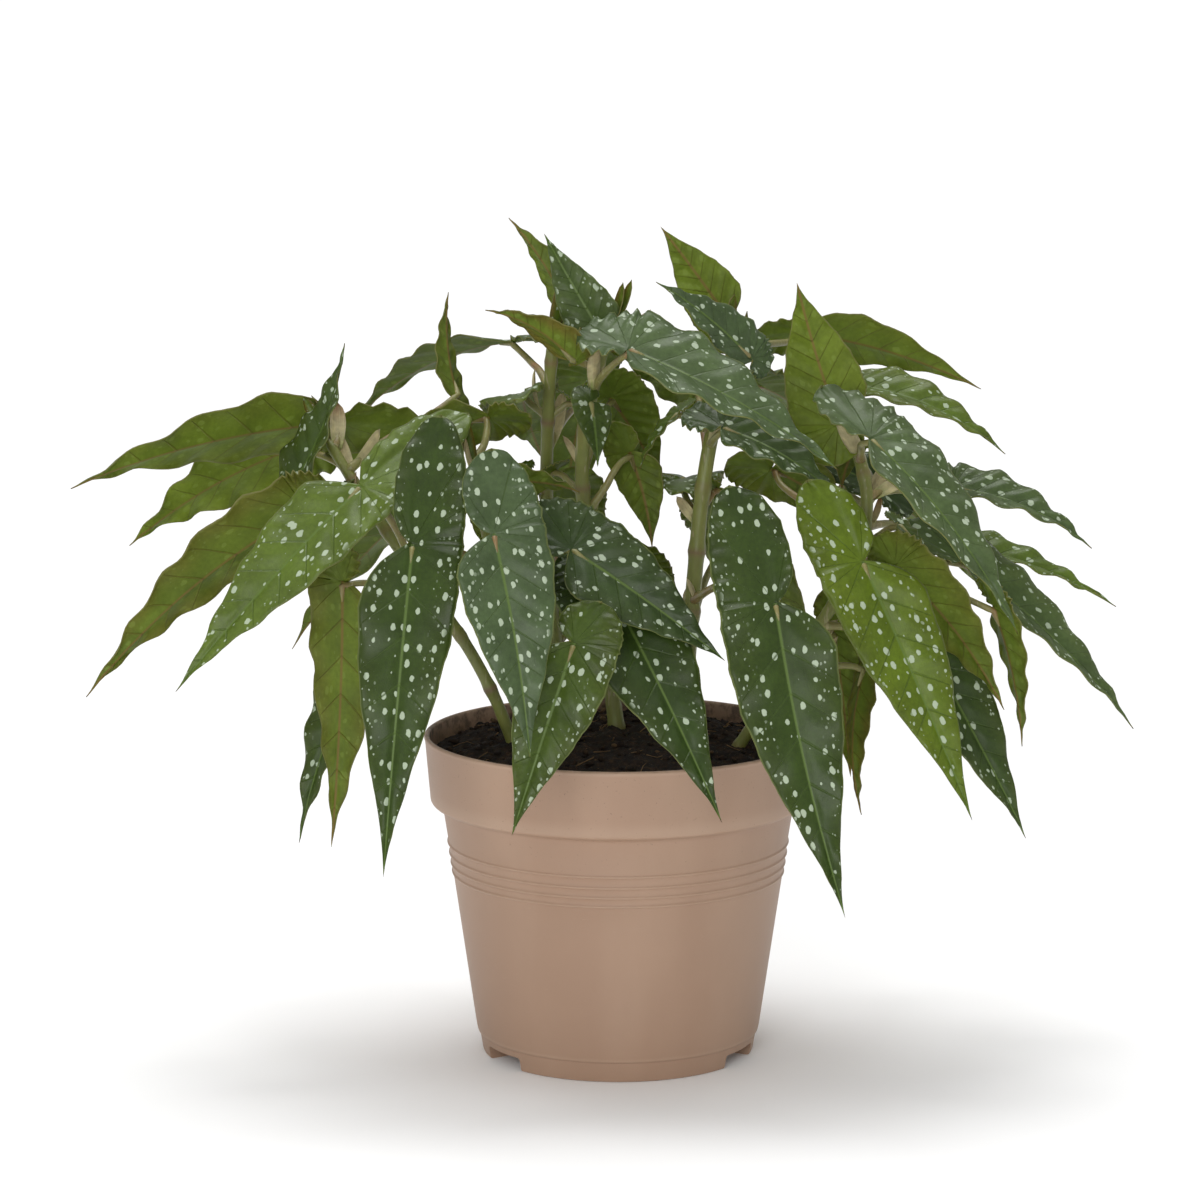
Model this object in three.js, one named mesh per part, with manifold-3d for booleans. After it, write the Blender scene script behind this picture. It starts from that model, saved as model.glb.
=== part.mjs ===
// A potted angel-wing begonia: a plastic nursery pot filled with soil, bamboo-like canes that grow
// out of it, and spotted wing-shaped leaves on stalks. Millimetres, +Z up, origin at the centre of
// the pot's underside, -Y is the front.
import * as THREE from "three";
import { mergeVertices } from "three/addons/utils/BufferGeometryUtils.js";
import Module from "manifold-3d";

const wasm = await Module();
wasm.setup();

// ---- Driving dimensions ----------------------------------------------------------------------

const GAP = 0.3; // kept between pieces that touch
const SMALLEST_DETAIL = 0.03;

const POT = {
  height: 141,
  baseRadius: 60.5,
  footHeight: 9,
  footStep: 1,
  bodyTopRadius: 77,
  bandBottom: 113,
  bandRadius: 82,
  rimRadius: 85,
  wall: 1.8,
  lip: 2.4,
  ridges: [80.1, 84.1, 88.5, 93.4],
  ridgeHeight: 1.2,
  ridgeDepth: 0.5,
  channels: 3,
  channelFrom: 37,
  channelWidth: 25,
  channelHeight: 6,
  channelTurn: 3,
  drainRadius: 4.5,
  drainAt: 49,
  sides: 40,
  bandUnder: 4, // the slope that carries the band: its height, and how far it starts inside the wall
  bandUnderIn: 0.5,
  bandChamfer: 1.5,
  bandChamferIn: 1,
  rimIn: 0.4, // how far the rim's edge stands inside its full radius
  rimEdge: 1.2,
  hollowStep: 3, // how far above and below the band's lower edge the hollow widens
};

// The bed's profile: its height at the edge and in the middle, and shares of the rim's radius
// where it bends.
const SOIL = { edge: 132, crown: 143, shoulder: 0.72, shoulderRise: 0.6, top: 0.4, colour: 0x1c1410 };

const STALK_RADIUS = 1.7;
const STALK_LAP = 2; // how far the stalk runs on under the blade, past the notch
const BLADE_THICKNESS = 0.8;
const STALK_SIDES = 4;
const STALK_STEPS = 4;
const CANE_SIDES = 6;
const CANE_STEPS = 8;
const CLEAR = 5; // how far a cutting shape runs past what it cuts
const STALK_THICK = 1.15; // the stalk's radius at the cane and at the blade, as shares of its own
const STALK_THIN = 0.85;
const STALK_RISE = 0.5; // how strongly a stalk leaves the cane upwards
const STALK_AWAY = 0.35; // the stalk's bends, as shares of its reach
const STALK_UNDER = 0.22;
const STALK_BEHIND = 0.12;

// Canes by name: radius at the soil and at the top, then the points that the cane passes.
const CANES = {
  left: [3.6, 2.6, [[-38, -12, 122], [-62, -20, 178], [-100, -14, 232], [-128, 4, 272]]],
  front_left: [3.4, 2.6, [[-24, -34, 122], [-36, -46, 170], [-52, -48, 222], [-62, -30, 266]]],
  centre_left: [3.6, 2.4, [[-20, 16, 122], [-30, 20, 200], [-31, 16, 262], [-28, 4, 318]]],
  centre: [3.8, 2.6, [[2, 2, 122], [-8, 2, 200], [-16, -4, 262], [-4, -14, 322]]],
  centre_right: [3.8, 2.8, [[26, -8, 122], [32, -10, 200], [38, -8, 262], [50, 4, 312]]],
  right: [3.6, 2.6, [[42, -14, 122], [78, -26, 180], [106, -18, 232], [98, 4, 290]]],
};

// Leaves. Each: its cane and the height where its stalk leaves the cane, the point where the stalk
// meets the blade, the tip, the way the upper side looks, the blade's width, the length of the lobe
// behind the stalk, the side of the fuller half (1 or -1), how far the midrib arches, and the angle
// at which each half is folded up.
const LEAVES = {
  // left
  far_left_high: ["left", 262, [-124, 20, 275], [-231, -50, 256], [-0.1, 0.8, 0.6], 42, 43, 1, 9, 14],
  far_left_broad: ["left", 250, [-142, 58, 259], [-216, 36, 218], [-0.3, 0.8, 0.5], 44, 32, 1, 7, 10],
  left_upright: ["left", 240, [-144, -10, 247], [-118, -4, 312], [-0.8, -0.5, 0.3], 34, 26, 1, -6, 30],
  far_left_low: ["left", 248, [-149, -34, 237], [-226, -52, 167], [-0.2, 0.8, 0.6], 40, 32, -1, 6, 22],
  left_pale: ["left", 214, [-108, -52, 257], [-185, -82, 175], [-0.3, -0.85, 0.5], 42, 56, -1, 6, 16],
  left_hanging: ["left", 205, [-130, -27, 209], [-123, -36, 98], [0.5, 0.8, 0.1], 40, 24, 1, 6, 20],
  left_shaded: ["left", 190, [-103, 12, 190], [-140, -2, 92], [-0.6, -0.8, 0.2], 36, 30, -1, 6, 24],
  // front
  front_left: ["front_left", 218, [-85, -92, 239], [-96, -140, 109], [-0.08, -0.95, 0.3], 42, 58, -1, 5, 8],
  front_middle: ["front_left", 210, [-51, -108, 246], [-36, -136, 157], [0.1, -0.85, 0.5], 42, 36, -1, 4, 10],
  front_low: ["front_left", 168, [-18, -108, 200], [-44, -130, 124], [0, -0.95, 0.3], 38, 20, -1, 3, 10],
  middle_slanting: ["front_left", 238, [-19, -76, 234], [44, -92, 190], [0.1, -0.85, 0.5], 40, 26, -1, 3, 12],
  middle_drooping: ["centre", 196, [-6, -70, 218], [42, -126, 129], [0.1, -0.9, 0.4], 46, 22, 1, 5, 10],
  front_right: ["centre_right", 200, [64, -104, 216], [92, -140, 92], [0.05, -0.95, 0.3], 47, 54, 1, 5, 8],
  // right
  right_pale: ["right", 214, [101, -76, 229], [147, -96, 123], [0.2, -0.93, 0.3], 42, 40, 1, 5, 12],
  right_long: ["right", 262, [106, -50, 277], [166, -86, 200], [0.35, -0.5, 0.8], 42, 34, -1, 8, 22],
  far_right_low: ["right", 226, [151, 0, 216], [227, 14, 140], [0.4, -0.5, 0.75], 36, 30, -1, 6, 26],
  right_upright: ["right", 270, [88, -14, 284], [75, -26, 341], [-0.1, 0.95, 0.2], 36, 24, 1, 4, 16],
  right_high: ["centre_right", 304, [82, 52, 310], [162, 66, 284], [0, 0.8, 0.6], 32, 26, -1, 7, 14],
  right_curled: ["right", 274, [99, 26, 291], [168, 6, 263], [0.2, -0.4, 0.9], 34, 20, 1, 9, 26],
  right_under: ["right", 206, [118, -42, 222], [164, -50, 161], [0.5, 0.8, 0.3], 36, 16, 1, 4, 8],
  far_right_narrow: ["right", 218, [160, -38, 203], [173, -40, 143], [0.8, 0.5, 0.1], 22, 16, 1, 3, 24],
  far_right_high: ["right", 246, [149, 17, 247], [206, 4, 222], [0.2, -0.4, 0.9], 30, 24, -1, 6, 26],
  far_right_thin: ["right", 234, [150, 36, 220], [220, 30, 192], [0.2, -0.3, 0.95], 28, 22, 1, 4, 24],
  right_dark: ["right", 190, [130, -30, 189], [174, -50, 105], [0.4, -0.85, 0.3], 38, 20, -1, 7, 16],
  right_olive: ["right", 176, [94, -2, 186], [101, -14, 124], [0.3, 0.9, 0.1], 30, 20, 1, 4, 12],
  right_thin_tail: ["right", 168, [108, -22, 175], [105, -34, 112], [0.8, 0.5, 0.1], 22, 18, -1, -8, 24],
  // top
  top_spotted: ["centre", 308, [-10, -12, 319], [-32, -2, 359], [-0.2, -0.9, 0.3], 27, 12, 1, 2, 18],
  top_brown: ["centre", 300, [-22, -28, 311], [-56, -46, 332], [0, 0.5, 0.85], 24, 8, -1, 3, 24],
  top_pointed: ["centre_left", 306, [-19, 10, 321], [-47, 20, 364], [0.5, 0.75, 0.3], 24, 14, 1, 2, 26],
  top_silver: ["centre", 290, [4, -44, 314], [92, -66, 266], [0.1, -0.5, 0.85], 44, 24, -1, 8, 24],
  top_blue: ["centre_right", 296, [57, -16, 307], [16, -28, 341], [0.3, -0.75, 0.6], 26, 11, 1, 3, 16],
  top_bright: ["centre_right", 304, [48, 20, 320], [18, 10, 361], [-0.2, 0.95, 0.2], 28, 14, 1, 2, 14],
  under_silver: ["centre_right", 266, [44, -30, 279], [94, -46, 250], [0.1, -0.5, 0.85], 34, 20, -1, 5, 22],
  // inner and behind
  round_back: ["centre_left", 276, [-42, 16, 288], [-34, 108, 246], [-0.3, 0.7, 0.7], 38, 38, -1, 8, 8],
  thin_back: ["left", 256, [-66, 30, 289], [-75, 44, 329], [-0.8, 0.5, 0.3], 20, 12, 1, 2, 26],
  inner_olive: ["front_left", 258, [-55, -16, 282], [-108, 2, 258], [0, 0.8, 0.6], 30, 18, 1, 4, 10],
  inner_green: ["front_left", 252, [-50, -44, 264], [-16, -46, 254], [0.1, 0.8, 0.6], 26, 14, -1, 3, 10],
  middle_grey: ["centre", 250, [-3, 26, 285], [20, 36, 246], [0.3, 0.9, 0.2], 34, 16, 1, 4, 12],
  middle_hanging: ["centre", 230, [5, 8, 264], [15, 2, 222], [0.3, 0.9, 0.1], 24, 14, -1, 3, 16],
  back_pale: ["centre_right", 262, [36, 52, 288], [-6, 62, 302], [0.1, 0.85, 0.5], 42, 26, 1, 5, 10],
  back_round: ["centre_right", 232, [28, 32, 249], [46, 122, 216], [0.1, 0.6, 0.8], 34, 30, 1, 8, 8],
  inner_right: ["right", 224, [66, 12, 255], [104, 22, 228], [0.2, 0.9, 0.4], 34, 20, -1, 4, 10],
  inner_dark: ["right", 257, [115, 29, 244], [79, 31, 258], [-0.1, -0.6, 0.8], 30, 18, 1, 5, 16],
  // back
  back_left_high: ["centre_left", 290, [-46, 58, 306], [-122, 118, 262], [-0.3, 0.4, 0.85], 42, 34, 1, 9, 14],
  back_left_low: ["left", 200, [-84, 58, 236], [-150, 112, 158], [-0.5, 0.6, 0.6], 42, 36, -1, 8, 14],
  back_middle_high: ["centre_left", 262, [-10, 92, 286], [-24, 142, 206], [0, 0.6, 0.8], 42, 32, -1, 9, 12],
  back_middle_low: ["centre_left", 196, [-26, 80, 226], [-34, 128, 128], [-0.1, 0.95, 0.3], 42, 34, 1, 7, 10],
  back_right_high: ["right", 266, [60, 90, 284], [118, 142, 228], [0.3, 0.5, 0.8], 42, 30, 1, 9, 14],
  back_right_low: ["centre_right", 186, [52, 76, 214], [86, 124, 120], [0.4, 0.85, 0.3], 42, 34, -1, 7, 12],
  back_far_right: ["right", 236, [104, 62, 246], [176, 92, 174], [0.5, 0.4, 0.8], 40, 32, -1, 8, 16],
  back_low: ["centre_left", 176, [8, 64, 196], [20, 106, 110], [0.1, 0.95, 0.2], 36, 28, 1, 6, 12],
};

// ---- Solids ------------------------------------------------------------------------------------

// A three.js geometry as a manifold-3d solid, which joins and cuts.
function solid(geometry) {
  const bare = geometry.clone();
  for (const name of Object.keys(bare.attributes)) if (name !== "position") bare.deleteAttribute(name);
  const merged = mergeVertices(bare, 1e-4);
  return new wasm.Manifold(
    new wasm.Mesh({
      numProp: 3,
      vertProperties: new Float32Array(merged.attributes.position.array),
      triVerts: new Uint32Array(merged.index.array),
    }),
  );
}

// A manifold-3d solid as a three.js geometry, without slivers finer than the smallest detail.
function geometryOf(made) {
  const mesh = made.setTolerance(SMALLEST_DETAIL).getMesh();
  const points = new Float32Array(mesh.numVert * 3);
  for (let i = 0; i < mesh.numVert; i++) {
    points.set(mesh.vertProperties.subarray(i * mesh.numProp, i * mesh.numProp + 3), i * 3);
  }
  const geometry = new THREE.BufferGeometry();
  geometry.setAttribute("position", new THREE.BufferAttribute(points, 3));
  geometry.setIndex(new THREE.BufferAttribute(mesh.triVerts, 1));
  return geometry;
}

// A round solid from a profile of [radius, height] points that starts and ends on the axis.
function turned(profile, sides) {
  const lathe = new THREE.LatheGeometry(profile.map(([r, z]) => new THREE.Vector2(r, z)), sides);
  return solid(lathe.rotateX(Math.PI / 2));
}

function placedBox(sizes, centre, turn) {
  const box = new THREE.BoxGeometry(...sizes).translate(...centre).rotateZ(turn);
  return solid(box);
}

// A tube along a curve, with a radius that changes from start to end.
function tube(curve, steps, sides, radiusStart, radiusEnd) {
  const section = new THREE.Shape();
  for (let i = 0; i < sides; i++) {
    const a = (2 * Math.PI * i) / sides;
    section[i ? "lineTo" : "moveTo"](Math.cos(a), Math.sin(a));
  }
  const frames = curve.computeFrenetFrames(steps, false);
  const flat = new THREE.ExtrudeGeometry(section, { depth: 1, steps, bevelEnabled: false });
  const place = flat.getAttribute("position");
  const p = new THREE.Vector3();
  for (let i = 0; i < place.count; i++) {
    const t = place.getZ(i);
    const ring = Math.round(t * steps);
    const radius = radiusStart + (radiusEnd - radiusStart) * t;
    curve.getPointAt(t, p);
    p.addScaledVector(frames.normals[ring], place.getX(i) * radius);
    p.addScaledVector(frames.binormals[ring], place.getY(i) * radius);
    place.setXYZ(i, p.x, p.y, p.z);
  }
  return solid(flat);
}

// ---- Pot ---------------------------------------------------------------------------------------

const bodyRadius = (z) =>
  POT.baseRadius + ((POT.bodyTopRadius - POT.baseRadius) * z) / POT.bandBottom;

function potOutside() {
  const profile = [[0, 0], [POT.baseRadius - POT.footStep, 0]];
  profile.push([bodyRadius(POT.footHeight) - POT.footStep, POT.footHeight]);
  profile.push([bodyRadius(POT.footHeight), POT.footHeight + POT.footStep / 2]);
  for (const z of POT.ridges) {
    profile.push([bodyRadius(z - POT.ridgeHeight), z - POT.ridgeHeight]);
    profile.push([bodyRadius(z) + POT.ridgeDepth, z]);
    profile.push([bodyRadius(z + POT.ridgeHeight / 2), z + POT.ridgeHeight / 2]);
  }
  profile.push([POT.bodyTopRadius - POT.bandUnderIn, POT.bandBottom - POT.bandUnder]);
  profile.push([POT.bandRadius - POT.bandChamferIn, POT.bandBottom - POT.bandChamfer]);
  profile.push([POT.bandRadius, POT.bandBottom]);
  profile.push([POT.rimRadius - POT.rimIn, POT.height - POT.rimEdge]);
  profile.push([POT.rimRadius - POT.rimIn, POT.height]);
  profile.push([0, POT.height]);
  return turned(profile, POT.sides);
}

// The pot's hollow, made smaller all round by shrink.
function potInside(shrink) {
  const away = POT.wall + shrink;
  const stepFrom = POT.bandBottom - POT.hollowStep;
  return turned(
    [
      [0, away],
      [POT.baseRadius - POT.footStep - away, away],
      [bodyRadius(stepFrom) - away, stepFrom],
      [POT.bandRadius - away, POT.bandBottom + POT.hollowStep],
      [POT.rimRadius - POT.lip - shrink, POT.height],
      [POT.rimRadius - POT.lip - shrink, POT.height + CLEAR],
      [0, POT.height + CLEAR],
    ],
    POT.sides,
  );
}

// The raised drainage channels under the floor, made larger all round by grow.
function channels(grow) {
  const long = POT.rimRadius;
  const blocks = [];
  for (let i = 0; i < POT.channels; i++) {
    const turn = THREE.MathUtils.degToRad(90 + POT.channelTurn + (360 * i) / POT.channels);
    const middle = POT.channelFrom - grow + long / 2;
    const size = [long, POT.channelWidth + 2 * grow, 2 * (POT.channelHeight + grow)];
    blocks.push(placedBox(size, [middle, 0, 0], turn));
  }
  return blocks.reduce((a, b) => a.add(b));
}

function drainHoles() {
  const holes = [];
  for (let i = 0; i < POT.channels; i++) {
    const turn = THREE.MathUtils.degToRad(90 + POT.channelTurn + (360 * i) / POT.channels);
    const hole = new THREE.CylinderGeometry(POT.drainRadius, POT.drainRadius, 3 * POT.channelHeight, 12);
    hole.rotateX(Math.PI / 2).translate(POT.drainAt, 0, POT.channelHeight).rotateZ(turn);
    holes.push(solid(hole));
  }
  return holes.reduce((a, b) => a.add(b));
}

function pot() {
  const hollow = potInside(0).subtract(channels(POT.wall));
  return potOutside().subtract(channels(0)).subtract(hollow).subtract(drainHoles());
}

// ---- Soil --------------------------------------------------------------------------------------

function soil(fatCanes) {
  const inside = potInside(GAP).subtract(channels(POT.wall + GAP));
  const mound = turned(
    [
      [0, 0],
      [POT.rimRadius, 0],
      [POT.rimRadius, SOIL.edge],
      [POT.rimRadius * SOIL.shoulder, SOIL.edge + (SOIL.crown - SOIL.edge) * SOIL.shoulderRise],
      [POT.rimRadius * SOIL.top, SOIL.crown - 1],
      [0, SOIL.crown],
    ],
    POT.sides / 2,
  );
  return fatCanes.reduce((bed, cane) => bed.subtract(cane), inside.intersect(mound));
}

// ---- Canes -------------------------------------------------------------------------------------

const vector = (p) => new THREE.Vector3(...p);
const caneCurve = (name) => new THREE.CatmullRomCurve3(CANES[name][2].map(vector));

function cane(name, fatter) {
  const [foot, top] = CANES[name];
  return tube(caneCurve(name), CANE_STEPS, CANE_SIDES, foot + fatter, top + fatter);
}

// The point on a cane's axis at a height.
function caneAt(name, height) {
  const curve = caneCurve(name);
  let low = 0;
  let high = 1;
  for (let i = 0; i < 30; i++) {
    const middle = (low + high) / 2;
    if (curve.getPoint(middle).z < height) low = middle;
    else high = middle;
  }
  return curve.getPoint(low);
}

// ---- Leaves ------------------------------------------------------------------------------------

// Half widths along the blade, as shares of half the leaf's width: the fuller half and the
// lesser one. The first number is the place along the midrib: -1 is the lobe's end, 0 the stalk
// and 1 the tip. The lesser half is cut in almost to the stalk by the notch at 0.
const FULL_HALF = [
  [-1, 0.3], [-0.86, 0.74], [-0.55, 0.98], [-0.1, 1.05], [0.15, 1.04], [0.38, 0.86],
  [0.6, 0.55], [0.82, 0.2], [1, 0],
];
const LESSER_HALF = [
  [-1, -0.3], [-0.86, 0.16], [-0.55, 0.48], [-0.1, 0.3], [0, 0.06], [0.06, 0.66], [0.2, 0.94],
  [0.38, 0.84], [0.6, 0.52], [0.82, 0.2], [1, 0],
];
const ROWS = [-1, -0.7, -0.1, 0, 0.08, 0.35, 0.7, 1];

function halfWidth(outline, v) {
  const next = outline.findIndex(([at]) => at >= v);
  if (next <= 0) return outline[0][1];
  const [v0, w0] = outline[next - 1];
  const [v1, w1] = outline[next];
  return w0 + ((w1 - w0) * (v - v0)) / (v1 - v0);
}

// The blade's own frame: along the midrib, across it, and out of the upper side.
function bladeFrame([, , at, tip, face, width, lobe, hand, bow, fold]) {
  const foot = vector(at);
  const end = vector(tip);
  const along = end.clone().sub(foot);
  const length = along.length();
  along.normalize();
  const out = vector(face);
  out.addScaledVector(along, -out.dot(along)).normalize();
  const across = along.clone().cross(out);
  const knee = foot.clone().addScaledVector(along, length / 2).addScaledVector(out, 2 * bow);
  const rib = new THREE.QuadraticBezierCurve3(foot, knee, end);
  const start = rib.getTangent(0);
  const half = (width / 2) * hand;
  return { foot, rib, start, out, across, length, lobe, half, fold: THREE.MathUtils.degToRad(fold) };
}

// The point at v along the midrib and u millimetres across, on the upper side.
function bladePoint(frame, v, u) {
  const at = v < 0 ? frame.foot.clone().addScaledVector(frame.start, v * frame.lobe) : frame.rib.getPoint(v);
  const heading = v < 0 ? frame.start : frame.rib.getTangent(v);
  const up = frame.across.clone().cross(heading).normalize();
  at.addScaledVector(frame.across, u * Math.cos(frame.fold));
  return at.addScaledVector(up, Math.abs(u) * Math.sin(frame.fold));
}

// The blade as a thin closed plate, three points to a row.
function blade(frame) {
  const points = [];
  const index = new Map();
  const vertex = (p) => {
    const key = p.toArray().map((x) => x.toFixed(3)).join();
    if (!index.has(key)) {
      index.set(key, points.length / 3);
      points.push(...p.toArray());
    }
    return index.get(key);
  };
  const rows = ROWS.map((v) => {
    const heading = v < 0 ? frame.start : frame.rib.getTangent(v);
    const up = frame.across.clone().cross(heading).normalize();
    const sides = [-halfWidth(LESSER_HALF, v), 0, halfWidth(FULL_HALF, v)];
    if (v === -1) sides[1] = sides[2];
    return sides.map((share) => {
      const top = bladePoint(frame, v, share * frame.half);
      const under = top.clone().addScaledVector(up, -BLADE_THICKNESS);
      return [vertex(top), vertex(under)];
    });
  });
  const faces = [];
  // A blade whose fuller half lies on the other side is a mirror image, so its faces turn round.
  const triangle = (a, b, c) => {
    if (a === b || b === c || a === c) return;
    if (frame.half > 0) faces.push(a, b, c);
    else faces.push(a, c, b);
  };
  const quad = (a, b, c, d) => {
    triangle(a, b, c);
    triangle(a, c, d);
  };
  for (let i = 0; i + 1 < rows.length; i++) {
    const [a, b] = [rows[i], rows[i + 1]];
    for (let j = 0; j < 2; j++) {
      quad(a[j][0], a[j + 1][0], b[j + 1][0], b[j][0]);
      quad(a[j][1], b[j][1], b[j + 1][1], a[j + 1][1]);
    }
    quad(a[0][1], a[0][0], b[0][0], b[0][1]);
    quad(a[2][0], a[2][1], b[2][1], b[2][0]);
  }
  const geometry = new THREE.BufferGeometry();
  geometry.setAttribute("position", new THREE.Float32BufferAttribute(points, 3));
  geometry.setIndex(faces);
  return solid(geometry);
}

// The stalk, from the cane's axis to the underside of the blade.
function stalk(leaf, frame) {
  const root = caneAt(leaf[0], leaf[1]);
  const end = frame.foot.clone().addScaledVector(frame.out, -BLADE_THICKNESS / 2);
  end.addScaledVector(frame.start, STALK_LAP);
  const reach = root.distanceTo(end);
  const away = end.clone().sub(root).normalize().add(new THREE.Vector3(0, 0, STALK_RISE)).normalize();
  const bend = end.clone().addScaledVector(frame.out, -reach * STALK_UNDER);
  bend.addScaledVector(frame.start, -reach * STALK_BEHIND);
  const curve = new THREE.CubicBezierCurve3(
    root,
    root.clone().addScaledVector(away, reach * STALK_AWAY),
    bend,
    end,
  );
  return tube(curve, STALK_STEPS, STALK_SIDES, STALK_RADIUS * STALK_THICK, STALK_RADIUS * STALK_THIN);
}

function leaf(name, fatCanes) {
  const frame = bladeFrame(LEAVES[name]);
  const whole = blade(frame).add(stalk(LEAVES[name], frame));
  return whole.subtract(fatCanes.get(LEAVES[name][0]));
}

// ---- Materials and assembly ----------------------------------------------------------------------

const potPlastic = new THREE.MeshStandardMaterial({ color: 0xa8866d, roughness: 0.55, metalness: 0 });
const pottingSoil = new THREE.MeshStandardMaterial({ color: SOIL.colour, roughness: 1, metalness: 0 });
const caneGreen = new THREE.MeshStandardMaterial({ color: 0x6b7a2a, roughness: 0.6, metalness: 0 });
const leafGreen = new THREE.MeshStandardMaterial({ color: 0x2c4a22, roughness: 0.45, metalness: 0 });

const begonia = new THREE.Group();

function place(name, made, material) {
  const mesh = new THREE.Mesh(geometryOf(made), material);
  mesh.name = name;
  begonia.add(mesh);
}

const fatCanes = new Map(Object.keys(CANES).map((name) => [name, cane(name, GAP)]));

place("pot", pot(), potPlastic);
place("soil", soil([...fatCanes.values()]), pottingSoil);
for (const name of Object.keys(CANES)) place(`cane_${name}`, cane(name, 0), caneGreen);
for (const name of Object.keys(LEAVES)) place(`leaf_${name}`, leaf(name, fatCanes), leafGreen);

export default begonia;
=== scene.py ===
"""A potted angel-wing begonia: a moulded nursery pot, damp soil, jointed canes and spotted leaves.

Sizes in fields are millimetres unless they say metres, meshes are metres, +Z is up and -Y is the front.
Where a cane or a leaf lies is measured on its solid in the frame.
"""

import heapq
import logging
import math
import random
from dataclasses import dataclass, field
from enum import Enum
from typing import Callable, Iterable, Sequence

import bmesh
import bpy
from mathutils import Matrix, Vector, noise
from mathutils.bvhtree import BVHTree


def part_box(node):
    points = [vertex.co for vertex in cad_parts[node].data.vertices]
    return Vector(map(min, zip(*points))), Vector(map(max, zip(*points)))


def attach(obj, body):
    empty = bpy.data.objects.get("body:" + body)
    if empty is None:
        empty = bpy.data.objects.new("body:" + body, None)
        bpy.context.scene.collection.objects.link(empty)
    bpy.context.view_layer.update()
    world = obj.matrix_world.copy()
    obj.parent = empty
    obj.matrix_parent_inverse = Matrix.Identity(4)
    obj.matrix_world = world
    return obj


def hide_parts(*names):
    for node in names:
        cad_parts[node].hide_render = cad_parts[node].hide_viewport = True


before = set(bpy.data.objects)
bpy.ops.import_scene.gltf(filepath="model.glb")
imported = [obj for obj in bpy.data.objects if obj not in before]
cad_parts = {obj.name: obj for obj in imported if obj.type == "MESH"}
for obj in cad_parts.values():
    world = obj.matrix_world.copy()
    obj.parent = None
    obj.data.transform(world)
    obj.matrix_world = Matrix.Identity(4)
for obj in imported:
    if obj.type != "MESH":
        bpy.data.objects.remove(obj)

LOG = logging.getLogger("begonia")
MM = 0.001
BODY = "root"
Rgb = tuple[float, float, float]


class Slot(Enum):
    """The record's material slots."""

    POT = "pot"
    SOIL = "soil"
    CANE = "cane"
    LEAF = "leaf"
    STALK = "stalk"
    STIPULE = "stipule"


class Skin(Enum):
    """The surfaces of a leaf, in the order of its material slots."""

    UPPER = 0
    UNDER = 1
    MARGIN = 2
    STALK = 3


# ---- Small sums -------------------------------------------------------------------------------


def ramp(low: float, high: float, x: float) -> float:
    """Rise smoothly from 0 to 1.

    Args:
        low: Where it starts to rise.
        high: Where it reaches 1.
        x: The place asked for.

    Returns:
        A number from 0 to 1.
    """
    t = min(1.0, max(0.0, (x - low) / (high - low)))
    return t * t * (3 - 2 * t)


def lerp(a: float, b: float, t: float) -> float:
    """Return the number a share t of the way from a to b."""
    return a + (b - a) * t


def carried_frames(points: Sequence[Vector]) -> list[Matrix]:
    """Carry one upright frame along a path without twisting it.

    Args:
        points: The path's points.

    Returns:
        One frame a point, its Z along the path.
    """
    headings = []
    for i in range(len(points)):
        before = points[max(0, i - 1)]
        after = points[min(len(points) - 1, i + 1)]
        headings.append((after - before).normalized())
    turn = Vector((0, 0, 1)).rotation_difference(headings[0])
    frames = []
    for i, heading in enumerate(headings):
        if i:
            turn = headings[i - 1].rotation_difference(heading) @ turn
        frames.append(Matrix.Translation(points[i]) @ turn.to_matrix().to_4x4())
    return frames


def bezier(points: Sequence[Vector], t: float) -> Vector:
    """Return the point at t on the Bezier curve with these control points."""
    row = list(points)
    while len(row) > 1:
        row = [a.lerp(b, t) for a, b in zip(row, row[1:])]
    return row[0]


def through(points: Sequence[Vector], t: float) -> Vector:
    """Return the point at t on a smooth curve through evenly timed points.

    Args:
        points: The points that the curve passes.
        t: The place along it, from 0 to 1.

    Returns:
        The point on the curve.
    """
    spans = len(points) - 1
    i = min(spans - 1, int(t * spans))
    s = t * spans - i
    p1, p2 = points[i], points[i + 1]
    p0 = points[i - 1] if i else p1 * 2 - p2
    p3 = points[i + 2] if i + 2 <= spans else p2 * 2 - p1
    flow = (p2 - p0) * s + (p0 * 2 - p1 * 5 + p2 * 4 - p3) * s * s
    return p1 + (flow + (p1 * 3 - p0 - p2 * 3 + p3) * s * s * s) * 0.5


# ---- Mesh work --------------------------------------------------------------------------------


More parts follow.
